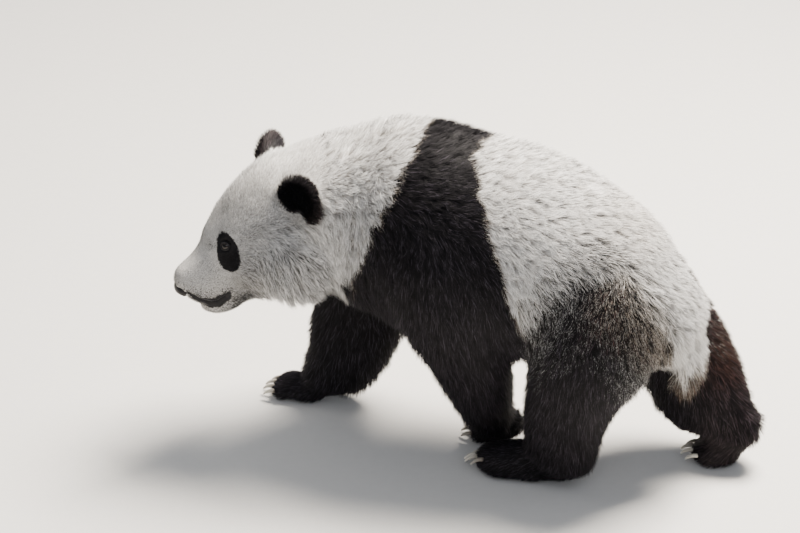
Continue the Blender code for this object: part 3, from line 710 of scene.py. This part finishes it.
def markings(points, limbs, local):
    """Darkness, warm tint and share of pale tips at each place, for skin and tufts alike; some of
    the darkness on the face is painted shade and some of the warm tint painted rim light.
    """
    place = points - UNDER_WITHERS
    x, z = place[:, 0], place[:, 2]
    in_front, in_hind, in_thigh, in_ear = limbs.T

    # Shoulder band, forelegs and chest.
    band = band_share(points)
    low = step(CHEST_TOP, CHEST_TOP - 0.03, z + 0.008 * ripple(points, 0.05, 13))
    foreleg = step(0.35, 0.65, in_front) * low
    chest = low * step(-0.150, -0.135, x) * step(0.190, 0.175, x)

    # Hindquarters, grizzled at the top, and the fringe of their rear edge.
    deep = thigh_share(points)
    thigh = 0.26 * step(-1.0, 0.2, deep) + 0.58 * step(0.0, 0.8, deep)
    thigh += 0.16 * step(0.5, 1.9, deep)
    thigh *= 1 - 0.24 * step(0.29, 0.35, x) * step(2.2, 0.9, deep)
    outside = step(0.060, 0.100, np.abs(place[:, 1]))
    legs = np.maximum(step(0.2, 0.7, in_thigh + in_hind), outside)
    quarters = step(0.165, 0.20, x) * legs
    hind = np.maximum(step(0.35, 0.65, in_hind), thigh * quarters)
    fringe = step(0.335, 0.37, x) * step(-0.2, 0.4, deep) * step(3.8, 3.0, deep) * quarters
    fringe *= 0.26 - 0.18 * step(0.0, 0.05, place[:, 1])
    tail_tip = 0.66 * step(0.258, 0.212, z) * step(0.39, 0.42, x)
    tail_tip *= step(0.6, 0.2, in_thigh + in_hind)

    # The face: grey hairs and painted shadow round the mouth, darker hairs and painted shadow under
    # the jaw, painted shade drawn as scattered dark hairs on the head's lower side below the eyes,
    # and painted shadow in the crease between them, beside the bridge of the nose.
    near_head = step(-0.16, -0.19, x)
    beside = step(0.010, 0.020, np.abs(local[:, 1])) * near_head
    gap, _ = mouth_gap(local)
    mouth = 0.50 * np.exp(-(gap / 0.020) ** 2) * step(0.110, 0.140, local[:, 0]) * near_head
    jaw = 0.55 * step(-0.160, -0.195, local[:, 2]) * step(0.085, 0.115, local[:, 0])
    jaw = jaw * step(0.165, 0.135, local[:, 0]) * near_head
    below = 0.10 * step(-0.085, -0.135, local[:, 2]) * beside
    crease = (local - (0.153, 0.0, -0.083)) / (0.016, 1.0, 0.006)
    crease = 0.30 * np.exp(-(crease ** 2).sum(1)) * beside
    patch = eye_patch(local) * near_head
    ear = step(0.35, 0.65, in_ear)
    dark = np.max((band, foreleg, chest, hind, patch, ear, lips_and_mouth_shadow(local), mouth, jaw, below,
                   crease, tail_tip), axis=0)

    # Warm tint: stains on the thigh, cream on the rump, brown at the tail's lower end, and brown on
    # the band's edge, the shank and the ears' rims, partly the black hair's own and partly painted
    # rim light.
    edge = band * (1 - band) * 4 * step(0.30, 0.36, z)
    brown_thigh = step(-0.3, 0.4, deep) * step(2.4, 1.0, deep) * step(0.26, 0.36, x) * legs
    brown_thigh *= 0.3 + 0.7 * thigh
    shank = step(0.35, 0.65, in_hind + in_thigh) * step(0.42, 0.50, x)
    shank *= 0.15 + 0.85 * step(0.13, 0.22, z)
    cream = 0.30 * step(0.22, 0.40, x) * step(0.40, 0.52, z) * (1 - dark)
    rim = ear * step(0.025, 0.05, gap_to(points, EARS)) * 0.25
    warm = np.max((0.55 * edge, 0.7 * brown_thigh, 0.65 * shank, cream,
                   rim, 1.1 * tail_tip), axis=0)

    flecks = 0.12 * step(0.2, 0.8, deep) * step(3.0, 1.6, deep) * quarters
    flecks = np.max((flecks, fringe, 0.25 * edge), axis=0)
    return dark, np.clip(warm, 0, 1), flecks


def unwrap(body):
    """An unwrap of the skin's own shape, which the coat shares."""
    select_only(body)
    bpy.ops.object.mode_set(mode="EDIT")
    bpy.ops.mesh.select_all(action="SELECT")
    bpy.ops.uv.smart_project(angle_limit=math.radians(66), island_margin=0.002)
    bpy.ops.object.mode_set(mode="OBJECT")
    body.data.uv_layers.active.name = UNWRAP


def build_skin():
    """The skin: melted, drawn in, refined on the face, carved, painted and unwrapped."""
    body = filled_body()
    inset(body)
    refine(body, on_face)
    refine(body, on_muzzle)
    carve_face(body)
    paint_skin(body)
    unwrap(body)
    clothe(body, "haired_hide")
    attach(body, "root")
    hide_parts(*FLESH)
    return body


# ---------------------------------------------------------------- coat

# One tuft's points are the three corners of its foot and its tip. Here are its faces, then how
# far up it and how far across its spot of the unwrap each point lies.
TUFT_FACES = np.array(((0, 2, 1), (0, 1, 3), (1, 2, 3), (2, 0, 3)), np.int32)
UPWARD = np.array((0.0, 0.0, 0.0, 1.0))
SPOT_ACROSS = np.array((1.0, 0.5, 0.0, 0.5))
SPOT_SIZE = 0.003
FOOT_RISE = 0.55
ROOT_SINK = 1.2 * MM
FLOOR_CLEAR = 0.8 * MM
# How far clumps turn, in radians, how much lengths vary and how far a clump's tips gather.
CURL, LONG_CURL = 0.24, 0.34
SPREAD, TAIL_SPREAD = 0.12, 0.28
GATHER, TAIL_GATHER = 0.32, 0.62
# What differs from tuft to tuft: its turn and its roll in radians, and the rest as shares.
OWN_TURN, ROLL = 0.20, 0.45
RISE_SPREAD, RISE_LIMITS = 0.15, (0.5, 1.6)
STRAYS, STRAY_RISE = 0.10, 0.4
GATHER_SPREAD, GATHER_LIMITS = 0.3, (0, 1.6)
WIDTH_RANGE = (0.6, 1.15)
BEND = 0.08
HANG = 0.34
SEEN_AT = 0.6
SKIN_SHARE_OF_NORMAL = 0.5
STAIN_AND_RIM_LIGHT_SPREAD = 0.35
# The share of black tufts with painted glints in their colour, how bright they are and the limits
# of all brightness.
GLINTS, GLINT_RANGE = 0.18, (2.0, 13.0)
TONE_AND_GLINT_LIMITS = (0.35, 14.0)
PALE_TIP = 1.7
NOSE_CLEAR = (0.0160, 0.0255, 0.0140)
EYE_CLEAR = 0.0092


def pick_roots(mesh, wanted, draws, crowd):
    """Places on the skin's faces of the wanted nodes, as many as each face's hair number asks."""
    mesh.calc_loop_triangles()
    corners, loops = (read_out(mesh.loop_triangles, field, 3, np.int32)
                      for field in ("vertices", "loops"))
    owner = np.median(painted_on(mesh, "owner")[corners], axis=1)
    keep = belong(np.rint(owner), wanted)
    corners, loops = corners[keep], loops[keep]
    points = places(mesh)[corners]
    area = 0.5 * np.linalg.norm(np.cross(points[:, 1] - points[:, 0],
                                         points[:, 2] - points[:, 0]), axis=1)
    number = painted_on(mesh, "hair_number")[corners].mean(1) * 1e4 * crowd
    expected = area * number
    count = int(expected.sum())
    edges = np.cumsum(expected)
    # One draw in each equal share of the area spreads the roots evenly.
    draws_at = (np.arange(count) + draws.uniform(size=count)) / count * edges[-1]
    face = np.minimum(np.searchsorted(edges, draws_at), len(edges) - 1)
    a = np.sqrt(draws.uniform(size=count))
    b = draws.uniform(size=count)
    weights = np.stack((1 - a, a * (1 - b), a * b), 1)
    return corners[face], loops[face], weights


def at_roots(mesh, name, corners, weights):
    """A painted number or vector read at the roots."""
    values = painted_on(mesh, name)[corners]
    if values.ndim == 3:
        return (values * weights[:, :, None]).sum(1)
    return (values * weights).sum(1)


def turned(ways, normals, angles):
    """Flat ways turned about their normals."""
    across = np.cross(normals, ways)
    return ways * np.cos(angles)[:, None] + across * np.sin(angles)[:, None]


def bare_places(root, normal, local):
    """Where no hair grows: the eyes' openings, the nose leather, the lips and the soles."""
    bare = (normal[:, 2] < -0.5) & (root[:, 2] < 0.010)
    bare |= lips_and_mouth_shadow(local) > 0.5
    nose = (local - in_head(middle("nose")[None])) / NOSE_CLEAR
    bare |= np.linalg.norm(nose, axis=1) < 1.0
    for side in SIDES:
        seat, gaze = eye_seat(side)
        rel = root - seat
        off_axis = np.linalg.norm(rel - (rel @ gaze)[:, None] * gaze, axis=1)
        bare |= (off_axis < EYE_CLEAR) & (np.linalg.norm(rel, axis=1) < 0.02)
    return bare


def clumps_of(root, length, draws):
    """Clump heads picked among the roots, and the head nearest to each root."""
    crowd = np.clip(step(0.004, 0.028, length) * 26, 4, None)
    heads = np.flatnonzero(draws.uniform(size=len(root)) < 1 / crowd)
    tree = KDTree(len(heads))
    for k, head in enumerate(heads):
        tree.insert(root[head], k)
    tree.balance()
    return heads, np.array([tree.find(point)[1] for point in root])


def tuft_points(root, normal, lie, run, height, width, shift, roll):
    """The points of three-sided tapering tufts, and their ways across and above."""
    across = np.cross(normal, lie)
    across = unit(across * np.cos(roll) + normal * np.sin(roll))
    above = unit(np.cross(lie, across))
    foot = root - normal * ROOT_SINK
    half = (width / 2)[:, None]
    tip = root + lie * run[:, None] + normal * height[:, None] + shift
    points = np.stack((foot + across * half, foot + above * half * FOOT_RISE,
                       foot - across * half, tip), 1)
    points[:, :, 2] = np.maximum(points[:, :, 2], FLOOR_CLEAR)
    return points, across, above


def grow(name, wanted, seed, slices):
    """Coat pieces: tufts on the skin of the wanted nodes, in clumps that follow the lie."""
    skin = bpy.data.objects["skin"].data
    draws = np.random.default_rng(seed)
    crowd = bpy.context.scene.panda_coat.crowd
    corners, loops, weights = pick_roots(skin, wanted, draws, crowd)
    root = (places(skin)[corners] * weights[:, :, None]).sum(1)
    normal = unit((normals_of(skin)[corners] * weights[:, :, None]).sum(1))
    keep = ~bare_places(root, normal, in_head(root))
    order = np.flatnonzero(keep)
    order = order[np.argsort(root[order, 0], kind="stable")]
    corners, loops, weights, root, normal = (
        part[order] for part in (corners, loops, weights, root, normal))
    count = len(root)
    sheet = read_out(skin.uv_layers[UNWRAP].data, "uv", 2)
    spot = (sheet[loops] * weights[:, :, None]).sum(1)
    lie = laid_flat(at_roots(skin, "lie", corners, weights), normal)
    length, width, depth = (at_roots(skin, part, corners, weights)
                            for part in ("hair_length", "hair_width", "hair_depth"))
    short = 1 - 0.6 * step(0.026, 0.012, gap_to(root, EYES))
    length *= short
    depth *= short
    ear = at_roots(skin, "in_ear", corners, weights)

    # Clumps: every tuft leans to the tip of the clump that it stands nearest to.
    heads, clump = clumps_of(root, length, draws)
    calm = 0.35 + 0.65 * step(0.006, 0.026, length)
    curl = LONG_CURL if "neck" in wanted or "tail" in wanted else CURL
    swing = draws.normal(0, curl, len(heads))[clump] + draws.normal(0, OWN_TURN, count)
    rise = 1 + draws.normal(0, RISE_SPREAD, len(heads))[clump]
    rise += draws.normal(0, RISE_SPREAD, count)
    rise += STRAY_RISE * (draws.uniform(size=count) < STRAYS)
    lie = turned(lie, normal, swing * calm)
    length = length * (1 + draws.normal(0, TAIL_SPREAD if "tail" in wanted else SPREAD, count))
    width = width * draws.uniform(*WIDTH_RANGE, count)
    height = np.minimum(depth * np.clip(rise, *RISE_LIMITS), (0.75 + 0.15 * ear) * length)
    height = np.maximum(height, ear * 0.8 * length)
    run = np.sqrt(np.maximum(length ** 2 - height ** 2, 1e-8))
    tip = root + lie * run[:, None] + normal * height[:, None]
    gather = (TAIL_GATHER if "tail" in wanted else GATHER) * calm
    gather = gather * np.clip(1 + draws.normal(0, GATHER_SPREAD, count), *GATHER_LIMITS)
    bend = draws.normal(0, BEND, count) * run
    shift = (tip[heads][clump] - tip) * gather[:, None]
    hang = HANG * step(0.35, -0.35, normal[:, 2]) * step(0.014, 0.026, length) * length
    shift[:, 2] -= hang
    shift += bend[:, None] * np.cross(normal, lie)
    roll = draws.normal(0, ROLL, count)[:, None]
    points, across, above = tuft_points(root, normal, lie, run, height, width, shift, roll)

    # The markings are read where the hair shows, past its root.
    seen = root + lie * (run * SEEN_AT)[:, None]
    limbs = np.stack([at_roots(skin, part, corners, weights) for part in LIMBS], 1)
    dark, warm, flecks = markings(seen, limbs, in_head(seen))
    front = step(0.02, -0.14, root[:, 0] - UNDER_WITHERS[0])
    mottle = (0.10 * step(0.008, 0.026, length) + 0.08 * front) * ripple(root, 0.014, 21)
    mottle -= (0.13 + 0.19 * front) * np.abs(draws.normal(size=count))
    # Painted glints on black hair: half as many on the ears and none high up on the body.
    glints = GLINTS * (1 - 0.5 * ear) * step(0.62, 0.50, root[:, 2])
    paints = tuft_paints(dark, warm, flecks, 1 + mottle, glints, draws)
    patch = spot[:, None, :] + SPOT_SIZE * np.stack((SPOT_ACROSS, UPWARD), 1)
    own = np.stack((unit(across + 0.4 * above), above, unit(0.4 * above - across), above), 1)
    shading = unit(SKIN_SHARE_OF_NORMAL * normal[:, None] + (1 - SKIN_SHARE_OF_NORMAL) * own)

    cuts = np.linspace(0, count, slices + 1).astype(int)
    for k, (start, stop) in enumerate(zip(cuts, cuts[1:])):
        mine = slice(start, stop)
        label = name if slices == 1 else f"{name}_{k + 1}"
        rows = {key: values[mine] for key, values in paints.items()}
        coat = tufts_as_piece(label, points[mine], patch[mine], rows, shading[mine])


def tuft_paints(dark, warm, flecks, tone_and_glint, glints, draws):
    """What the coat's material reads. Where black gives way to white the coat is grizzled."""
    count = len(dark)
    own = np.clip((1.2 * dark - draws.uniform(size=count)) * 1.3 + 0.5, 0, 1)
    own = np.where(dark < 0.02, 0, np.where(dark > 0.98, 1, own))
    pale = draws.uniform(size=count) < 3 * flecks
    # The warm tint, for stains and painted rim light, differs from tuft to tuft.
    stain_and_rim_light = np.clip(warm * (1 + draws.normal(0, STAIN_AND_RIM_LIGHT_SPREAD, count)), 0, 1)
    glint = (draws.uniform(size=count) < glints) * draws.uniform(*GLINT_RANGE, count)
    glint *= 1 - 0.8 * stain_and_rim_light
    mixed = (own > 0.02) & ((own < 0.97) | pale)
    tone_and_glint = np.where(mixed, 0.5 * tone_and_glint, tone_and_glint)
    # Black tufts are lightened at random and the glints added: painted highlights on single hairs.
    tone_and_glint = np.where((own > 0.97) & ~pale, 1 + np.abs(draws.normal(0, 0.5, count)) + glint, tone_and_glint)
    # A pale tuft is black nearly to its tip, so only the tip shows as a fleck.
    tips = pale[:, None] * (1 - PALE_TIP * UPWARD)
    return {"dark": np.clip(own[:, None] + tips, 0, 2),
            "along": np.tile(UPWARD, (count, 1)),
            "warm": stain_and_rim_light[:, None] * (0.35 + 0.65 * UPWARD),
            "tone_and_glint": np.clip(tone_and_glint, *TONE_AND_GLINT_LIMITS)[:, None] * np.ones(len(UPWARD))}


def tufts_as_piece(name, points, patch, paints, shading):
    """One coat piece of tufts, with its paints, its unwrap and its softened shading."""
    count, per = points.shape[:2]
    faces = (np.arange(count, dtype=np.int32)[:, None, None] * per + TUFT_FACES).reshape(-1)
    total = count * len(TUFT_FACES)
    mesh = bpy.data.meshes.new(name)
    mesh.vertices.add(count * per)
    mesh.vertices.foreach_set("co", points.astype(np.float32).ravel())
    mesh.loops.add(total * 3)
    mesh.loops.foreach_set("vertex_index", faces)
    mesh.polygons.add(total)
    mesh.polygons.foreach_set("loop_start", np.arange(total, dtype=np.int32) * 3)
    mesh.update(calc_edges=True)
    mesh.uv_layers.new(name=UNWRAP)
    flat = patch.reshape(-1, 2)[faces]
    mesh.uv_layers[UNWRAP].data.foreach_set("uv", flat.astype(np.float32).ravel())
    for key, values in paints.items():
        paint(mesh, key, values.ravel())
    coat = new_piece(name, mesh)
    clothe(coat, "guard_hair_keratin")
    mesh.normals_split_custom_set_from_vertices(shading.reshape(-1, 3))
    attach(coat, "root")
    print(f"{name}: {count} tufts, {total} triangles")
    return coat


# ---------------------------------------------------------------- eyes, nose, claws

def eye_frame(side):
    """The centre of an eyeball a little proud of the skin, and its axes: across, up, gaze."""
    seat, gaze = eye_seat(side)
    up = HEAD_AXES[2]
    tall = unit(up - gaze * (up @ gaze))
    return seat - gaze * (EYE_SPAN - EYE_PROUD), np.array((unit(np.cross(tall, gaze)), tall, gaze))


def build_eye(side):
    """An eyeball with a low cornea dome, its turn from the gaze painted on."""
    centre, axes = eye_frame(side)
    piece = new_primitive(f"eyeball_{side}", bpy.ops.mesh.primitive_uv_sphere_add,
                          segments=64, ring_count=40, radius=EYE_SPAN)
    flat = places(piece.data)
    turn = np.arccos(np.clip(unit(flat)[:, 2], -1, 1))
    cornea = 1 + 0.07 * step(0.75, 0.25, turn)
    flat = flat * cornea[:, None]
    move_to(piece.data, centre + flat @ axes)
    paint(piece.data, "turn", turn)
    clothe(piece, "wet_cornea")
    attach(piece, "root")
    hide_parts(f"eye_{side}")
    return piece


def build_lids(side):
    """The lids: a rolled rim round an almond opening, set into the skin round the eye."""
    centre, (wide, tall, gaze) = eye_frame(side)
    around = 72
    # Each ring: how far outside the opening it lies, in radians, and its distance from the centre.
    rings = ((-0.04, EYE_SPAN * 0.88), (-0.02, EYE_SPAN + 0.3 * MM), (0.03, EYE_SPAN + 1.2 * MM),
             (0.12, EYE_SPAN + 1.7 * MM), (0.25, EYE_SPAN + 1.6 * MM),
             (0.40, EYE_SPAN + 0.9 * MM), (0.56, EYE_SPAN - 0.8 * MM), (0.56, EYE_SPAN - 3 * MM))
    work = bmesh.new()
    loops = []
    for extra, distance in rings:
        loop = []
        for k in range(around):
            angle = math.tau * k / around
            # An almond, with a heavier upper lid.
            over = LID_WIDE * math.cos(angle)
            rise = LID_TALL * math.sin(angle) * (1.0 if math.sin(angle) < 0 else 0.9)
            reach = math.hypot(over, rise) + extra
            turn = math.atan2(rise, over)
            flat = math.cos(turn) * wide + math.sin(turn) * tall
            point = centre + distance * (math.cos(reach) * gaze + math.sin(reach) * flat)
            loop.append(work.verts.new(point))
        loops.append(loop)
    for inner, outer in zip(loops, loops[1:] + loops[:1]):
        for k in range(around):
            after = (k + 1) % around
            work.faces.new((inner[k], outer[k], outer[after], inner[after]))
    bmesh.ops.recalc_face_normals(work, faces=work.faces)
    piece = made_of(work, f"eyelids_{side}")
    add_modifier(piece, "SUBSURF", levels=1, render_levels=1)
    for name, value in (("dark", 1.0), ("warm", 0.0), ("bare", 0.9)):
        paint(piece.data, name, np.full(len(piece.data.vertices), value))
    clothe(piece, "haired_hide")
    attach(piece, "root")
    return piece


NOSE_SIZE = (16.0 * MM, 25.0 * MM, 12.8 * MM)
NOSE_LEAN = math.radians(28.0)
NOSE_ROUND = 0.88


def build_nose():
    """The nose leather: a broad pad with a flat top edge, comma nostrils and a middle groove."""
    piece = new_primitive("nose_leather", bpy.ops.mesh.primitive_uv_sphere_add,
                          segments=96, ring_count=64, radius=1.0)
    ball = places(piece.data)[:, (2, 0, 1)]
    local = np.sign(ball) * np.abs(ball) ** NOSE_ROUND * NOSE_SIZE
    side = np.abs(local[:, 1])
    front = step(0.0, 0.008, local[:, 0])
    # A nostril opens to the front and sweeps out and back in a slit.
    pit = np.exp(-((side - 0.0105) / 0.0044) ** 2 - ((local[:, 2] + 0.0015) / 0.0036) ** 2)
    slit = np.exp(-((side - 0.0190) / 0.0058) ** 2 - ((local[:, 2] + 0.0045) / 0.0019) ** 2)
    groove = np.exp(-(local[:, 1] / 0.0011) ** 2) * step(0.004, -0.002, local[:, 2])
    sink = front * (0.0075 * pit + 0.0014 * groove) + 0.0035 * slit
    local = local - unit(local * (1.0, 0.6, 1.0)) * sink[:, None]
    lean = np.array(((math.cos(NOSE_LEAN), 0, -math.sin(NOSE_LEAN)), (0, 1, 0),
                     (math.sin(NOSE_LEAN), 0, math.cos(NOSE_LEAN))))
    centre = in_head(middle("nose")[None])[0]
    move_to(piece.data, from_head(local @ lean + centre))
    clothe(piece, "rhinarium_leather")
    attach(piece, "root")
    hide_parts("nose")
    return piece


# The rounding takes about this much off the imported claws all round, and it is given back.
CLAW_SWELL = 1.1 * MM


def build_claws(paw):
    """A paw's five claws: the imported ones, welded and rounded."""
    names = [f"claw_{paw}_{number}" for number in range(1, 6)]
    piece = welded(names, f"claws_{paw}")
    add_modifier(piece, "SUBSURF", levels=2, render_levels=2)
    move_to(piece.data, places(piece.data) + normals_of(piece.data) * CLAW_SWELL)
    reach = np.linalg.norm((places(piece.data) - middle(paw)) * (1, 1, 0.3), axis=1)
    paint(piece.data, "along", step(reach.min(), reach.max(), reach))
    clothe(piece, "claw_horn_keratin")
    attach(piece, "root")
    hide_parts(*names)
    return piece


# ---------------------------------------------------------------- stage

def look_back(piece, away):
    """Turns a lamp or camera to look back along the way out to it."""
    piece.rotation_mode = "QUATERNION"
    piece.rotation_quaternion = (-Vector(away)).to_track_quat("-Z", "Y")


def heading(azimuth, elevation):
    """The way from the animal out to a viewer."""
    flat = math.cos(elevation)
    return np.array((math.sin(azimuth) * flat, -math.cos(azimuth) * flat, math.sin(elevation)))


LAMP_AIM = (0.0, 0.0, 0.3)


def add_lamp(name, azimuth, elevation, distance, size, power, colour):
    """One soft box."""
    deselect_all()
    bpy.ops.object.light_add(type="AREA")
    lamp = bpy.context.object
    lamp.name = name
    lamp.data.shape = "SQUARE"
    lamp.data.size = size
    lamp.data.energy = power
    lamp.data.color = tone(colour)[:3]
    away = heading(math.radians(azimuth), math.radians(elevation)) * distance
    lamp.location = Vector(LAMP_AIM) + Vector(away)
    look_back(lamp, away)


def build_stage(settings):
    """Pale floor, three soft boxes, an even surround and the camera."""
    floor = new_primitive("studio_floor", bpy.ops.mesh.primitive_plane_add,
                          size=settings.floor_size)
    floor.data.materials.append(material_named("studio_paper"))
    add_lamp("key_softbox", 140, 66, 3.4, 1.6, 740, "#fff6ea")
    add_lamp("fill_softbox", 24, 36, 4.5, 3.0, 55, "#eef3ff")
    add_lamp("side_softbox", -75, 50, 4.0, 2.2, 18, "#ffffff")
    world = bpy.data.worlds.new("studio_surround")
    world.use_nodes = True
    backdrop = world.node_tree.nodes["Background"]
    backdrop.inputs["Color"].default_value = tone("#e4e8ee")
    backdrop.inputs["Strength"].default_value = 0.50
    bpy.context.scene.world = world

    azimuth, elevation = settings.camera_azimuth, settings.camera_elevation
    back = heading(azimuth, elevation)
    right = np.array((math.cos(azimuth), math.sin(azimuth), 0.0))
    up = np.cross(back, right)
    aim = UNDER_WITHERS + right * settings.aim_across + up * settings.aim_up
    deselect_all()
    bpy.ops.object.camera_add()
    camera = bpy.context.object
    camera.name = "photo_view"
    camera.data.sensor_width = 36.0
    camera.data.lens = settings.lens
    camera.location = Vector(aim + back * settings.camera_distance)
    look_back(camera, back)
    bpy.context.scene.camera = camera


# ---------------------------------------------------------------- add-on

# Each part of the coat: its pieces' names, the nodes that they grow on, their seeds and slices.
COAT_PIECES = {
    "head": (("coat_head", ("head",), 1, 2),),
    "neck": (("coat_neck", ("neck",), 2, 1),),
    "trunk": (("coat_trunk", ("trunk",), 3, 2),),
    "forelegs": tuple((f"coat_foreleg_{side}", leg, 4 + k, 1)
                      for k, (side, *leg) in enumerate(zip(SIDES, FORE_UPPERS, FORE_LOWERS))),
    "hindlegs": tuple((f"coat_hindleg_{side}", leg, 6 + k, 1)
                      for k, (side, *leg) in enumerate(zip(SIDES, HIND_UPPERS, HIND_LOWERS))),
    "ends": (("coat_ears", EARS, 8, 1), ("coat_paws", PAWS, 9, 1), ("coat_tail", ("tail",), 10, 1)),
}


class PandaCoatSettings(bpy.types.PropertyGroup):
    """How full the coat is."""

    crowd: FloatProperty(name="Crowd", description="Tufts beside the usual number",
                         default=1.0, min=0.1, max=1.2)


class PandaStageSettings(bpy.types.PropertyGroup):
    """The studio's sizes and the camera's place."""

    floor_size: FloatProperty(name="Floor size", description="Side of the studio floor",
                              default=30.0, unit="LENGTH")
    camera_azimuth: FloatProperty(name="Camera azimuth", description="From the left side's square",
                                  default=math.radians(16.0), subtype="ANGLE")
    camera_elevation: FloatProperty(name="Camera elevation", description="Above the horizon",
                                    default=math.radians(27.0), subtype="ANGLE")
    camera_distance: FloatProperty(name="Camera distance", description="From the aim",
                                   default=6.5, unit="LENGTH")
    aim_across: FloatProperty(name="Aim across", description="Right of the withers' foot",
                              default=-0.072, unit="LENGTH")
    aim_up: FloatProperty(name="Aim up", description="Up the view from the withers' foot",
                          default=0.3177, unit="LENGTH")
    lens: FloatProperty(name="Lens", description="Focal length in mm on a 36 mm sensor",
                        default=162.5)


class PANDA_OT_skin(bpy.types.Operator):
    """Makes the one skin that stands for all the flesh"""

    bl_idname = "panda.skin"
    bl_label = "Skin"

    def execute(self, context):
        build_skin()
        return {"FINISHED"}


class PANDA_OT_eyes(bpy.types.Operator):
    """Makes both eyeballs and their lids"""

    bl_idname = "panda.eyes"
    bl_label = "Eyes and lids"

    def execute(self, context):
        for side in SIDES:
            build_eye(side)
            build_lids(side)
        return {"FINISHED"}


class PANDA_OT_nose(bpy.types.Operator):
    """Makes the nose leather"""

    bl_idname = "panda.nose"
    bl_label = "Nose leather"

    def execute(self, context):
        build_nose()
        return {"FINISHED"}


class PANDA_OT_claws(bpy.types.Operator):
    """Makes the claws of the four paws"""

    bl_idname = "panda.claws"
    bl_label = "Claws"

    def execute(self, context):
        for paw in PAWS:
            build_claws(paw)
        return {"FINISHED"}


class PANDA_OT_coat(bpy.types.Operator):
    """Grows the coat of one part of the body"""

    bl_idname = "panda.coat"
    bl_label = "Coat"
    part: StringProperty(name="Part", description="Which part of the body", default="trunk")

    def execute(self, context):
        for piece in COAT_PIECES[self.part]:
            grow(*piece)
        return {"FINISHED"}


class PANDA_OT_stage(bpy.types.Operator):
    """Makes the floor, the lights and the camera"""

    bl_idname = "panda.stage"
    bl_label = "Stage"

    def execute(self, context):
        build_stage(context.scene.panda_stage)
        return {"FINISHED"}


class PANDA_PT_panel(bpy.types.Panel):
    """Lists the panda's pieces and sizes"""

    bl_label = "Walking Giant Panda"
    bl_idname = "PANDA_PT_panel"
    bl_space_type = "VIEW_3D"
    bl_region_type = "UI"
    bl_category = "Panda"

    def draw(self, context):
        layout = self.layout
        for name in ("skin", "eyes", "nose", "claws", "stage"):
            layout.operator(f"panda.{name}")
        for part in COAT_PIECES:
            layout.operator("panda.coat", text=f"Coat: {part}").part = part
        for group in (context.scene.panda_coat, context.scene.panda_stage):
            for name in group.__annotations__:
                layout.prop(group, name)


CLASSES = (PandaCoatSettings, PandaStageSettings, PANDA_OT_skin, PANDA_OT_eyes, PANDA_OT_nose,
           PANDA_OT_claws, PANDA_OT_coat, PANDA_OT_stage, PANDA_PT_panel)


def register():
    """Registers the classes and hangs the settings on the scene."""
    for each in CLASSES:
        bpy.utils.register_class(each)
    bpy.types.Scene.panda_coat = PointerProperty(type=PandaCoatSettings)
    bpy.types.Scene.panda_stage = PointerProperty(type=PandaStageSettings)


def unregister():
    """Takes the settings and classes away again."""
    del bpy.types.Scene.panda_stage
    del bpy.types.Scene.panda_coat
    for each in reversed(CLASSES):
        bpy.utils.unregister_class(each)


def main():
    """Builds every piece in order."""
    register()
    bpy.ops.panda.skin()
    bpy.ops.panda.eyes()
    bpy.ops.panda.nose()
    bpy.ops.panda.claws()
    for part in COAT_PIECES:
        bpy.ops.panda.coat(part=part)
    bpy.ops.panda.stage()


if __name__ == "__main__":
    main()
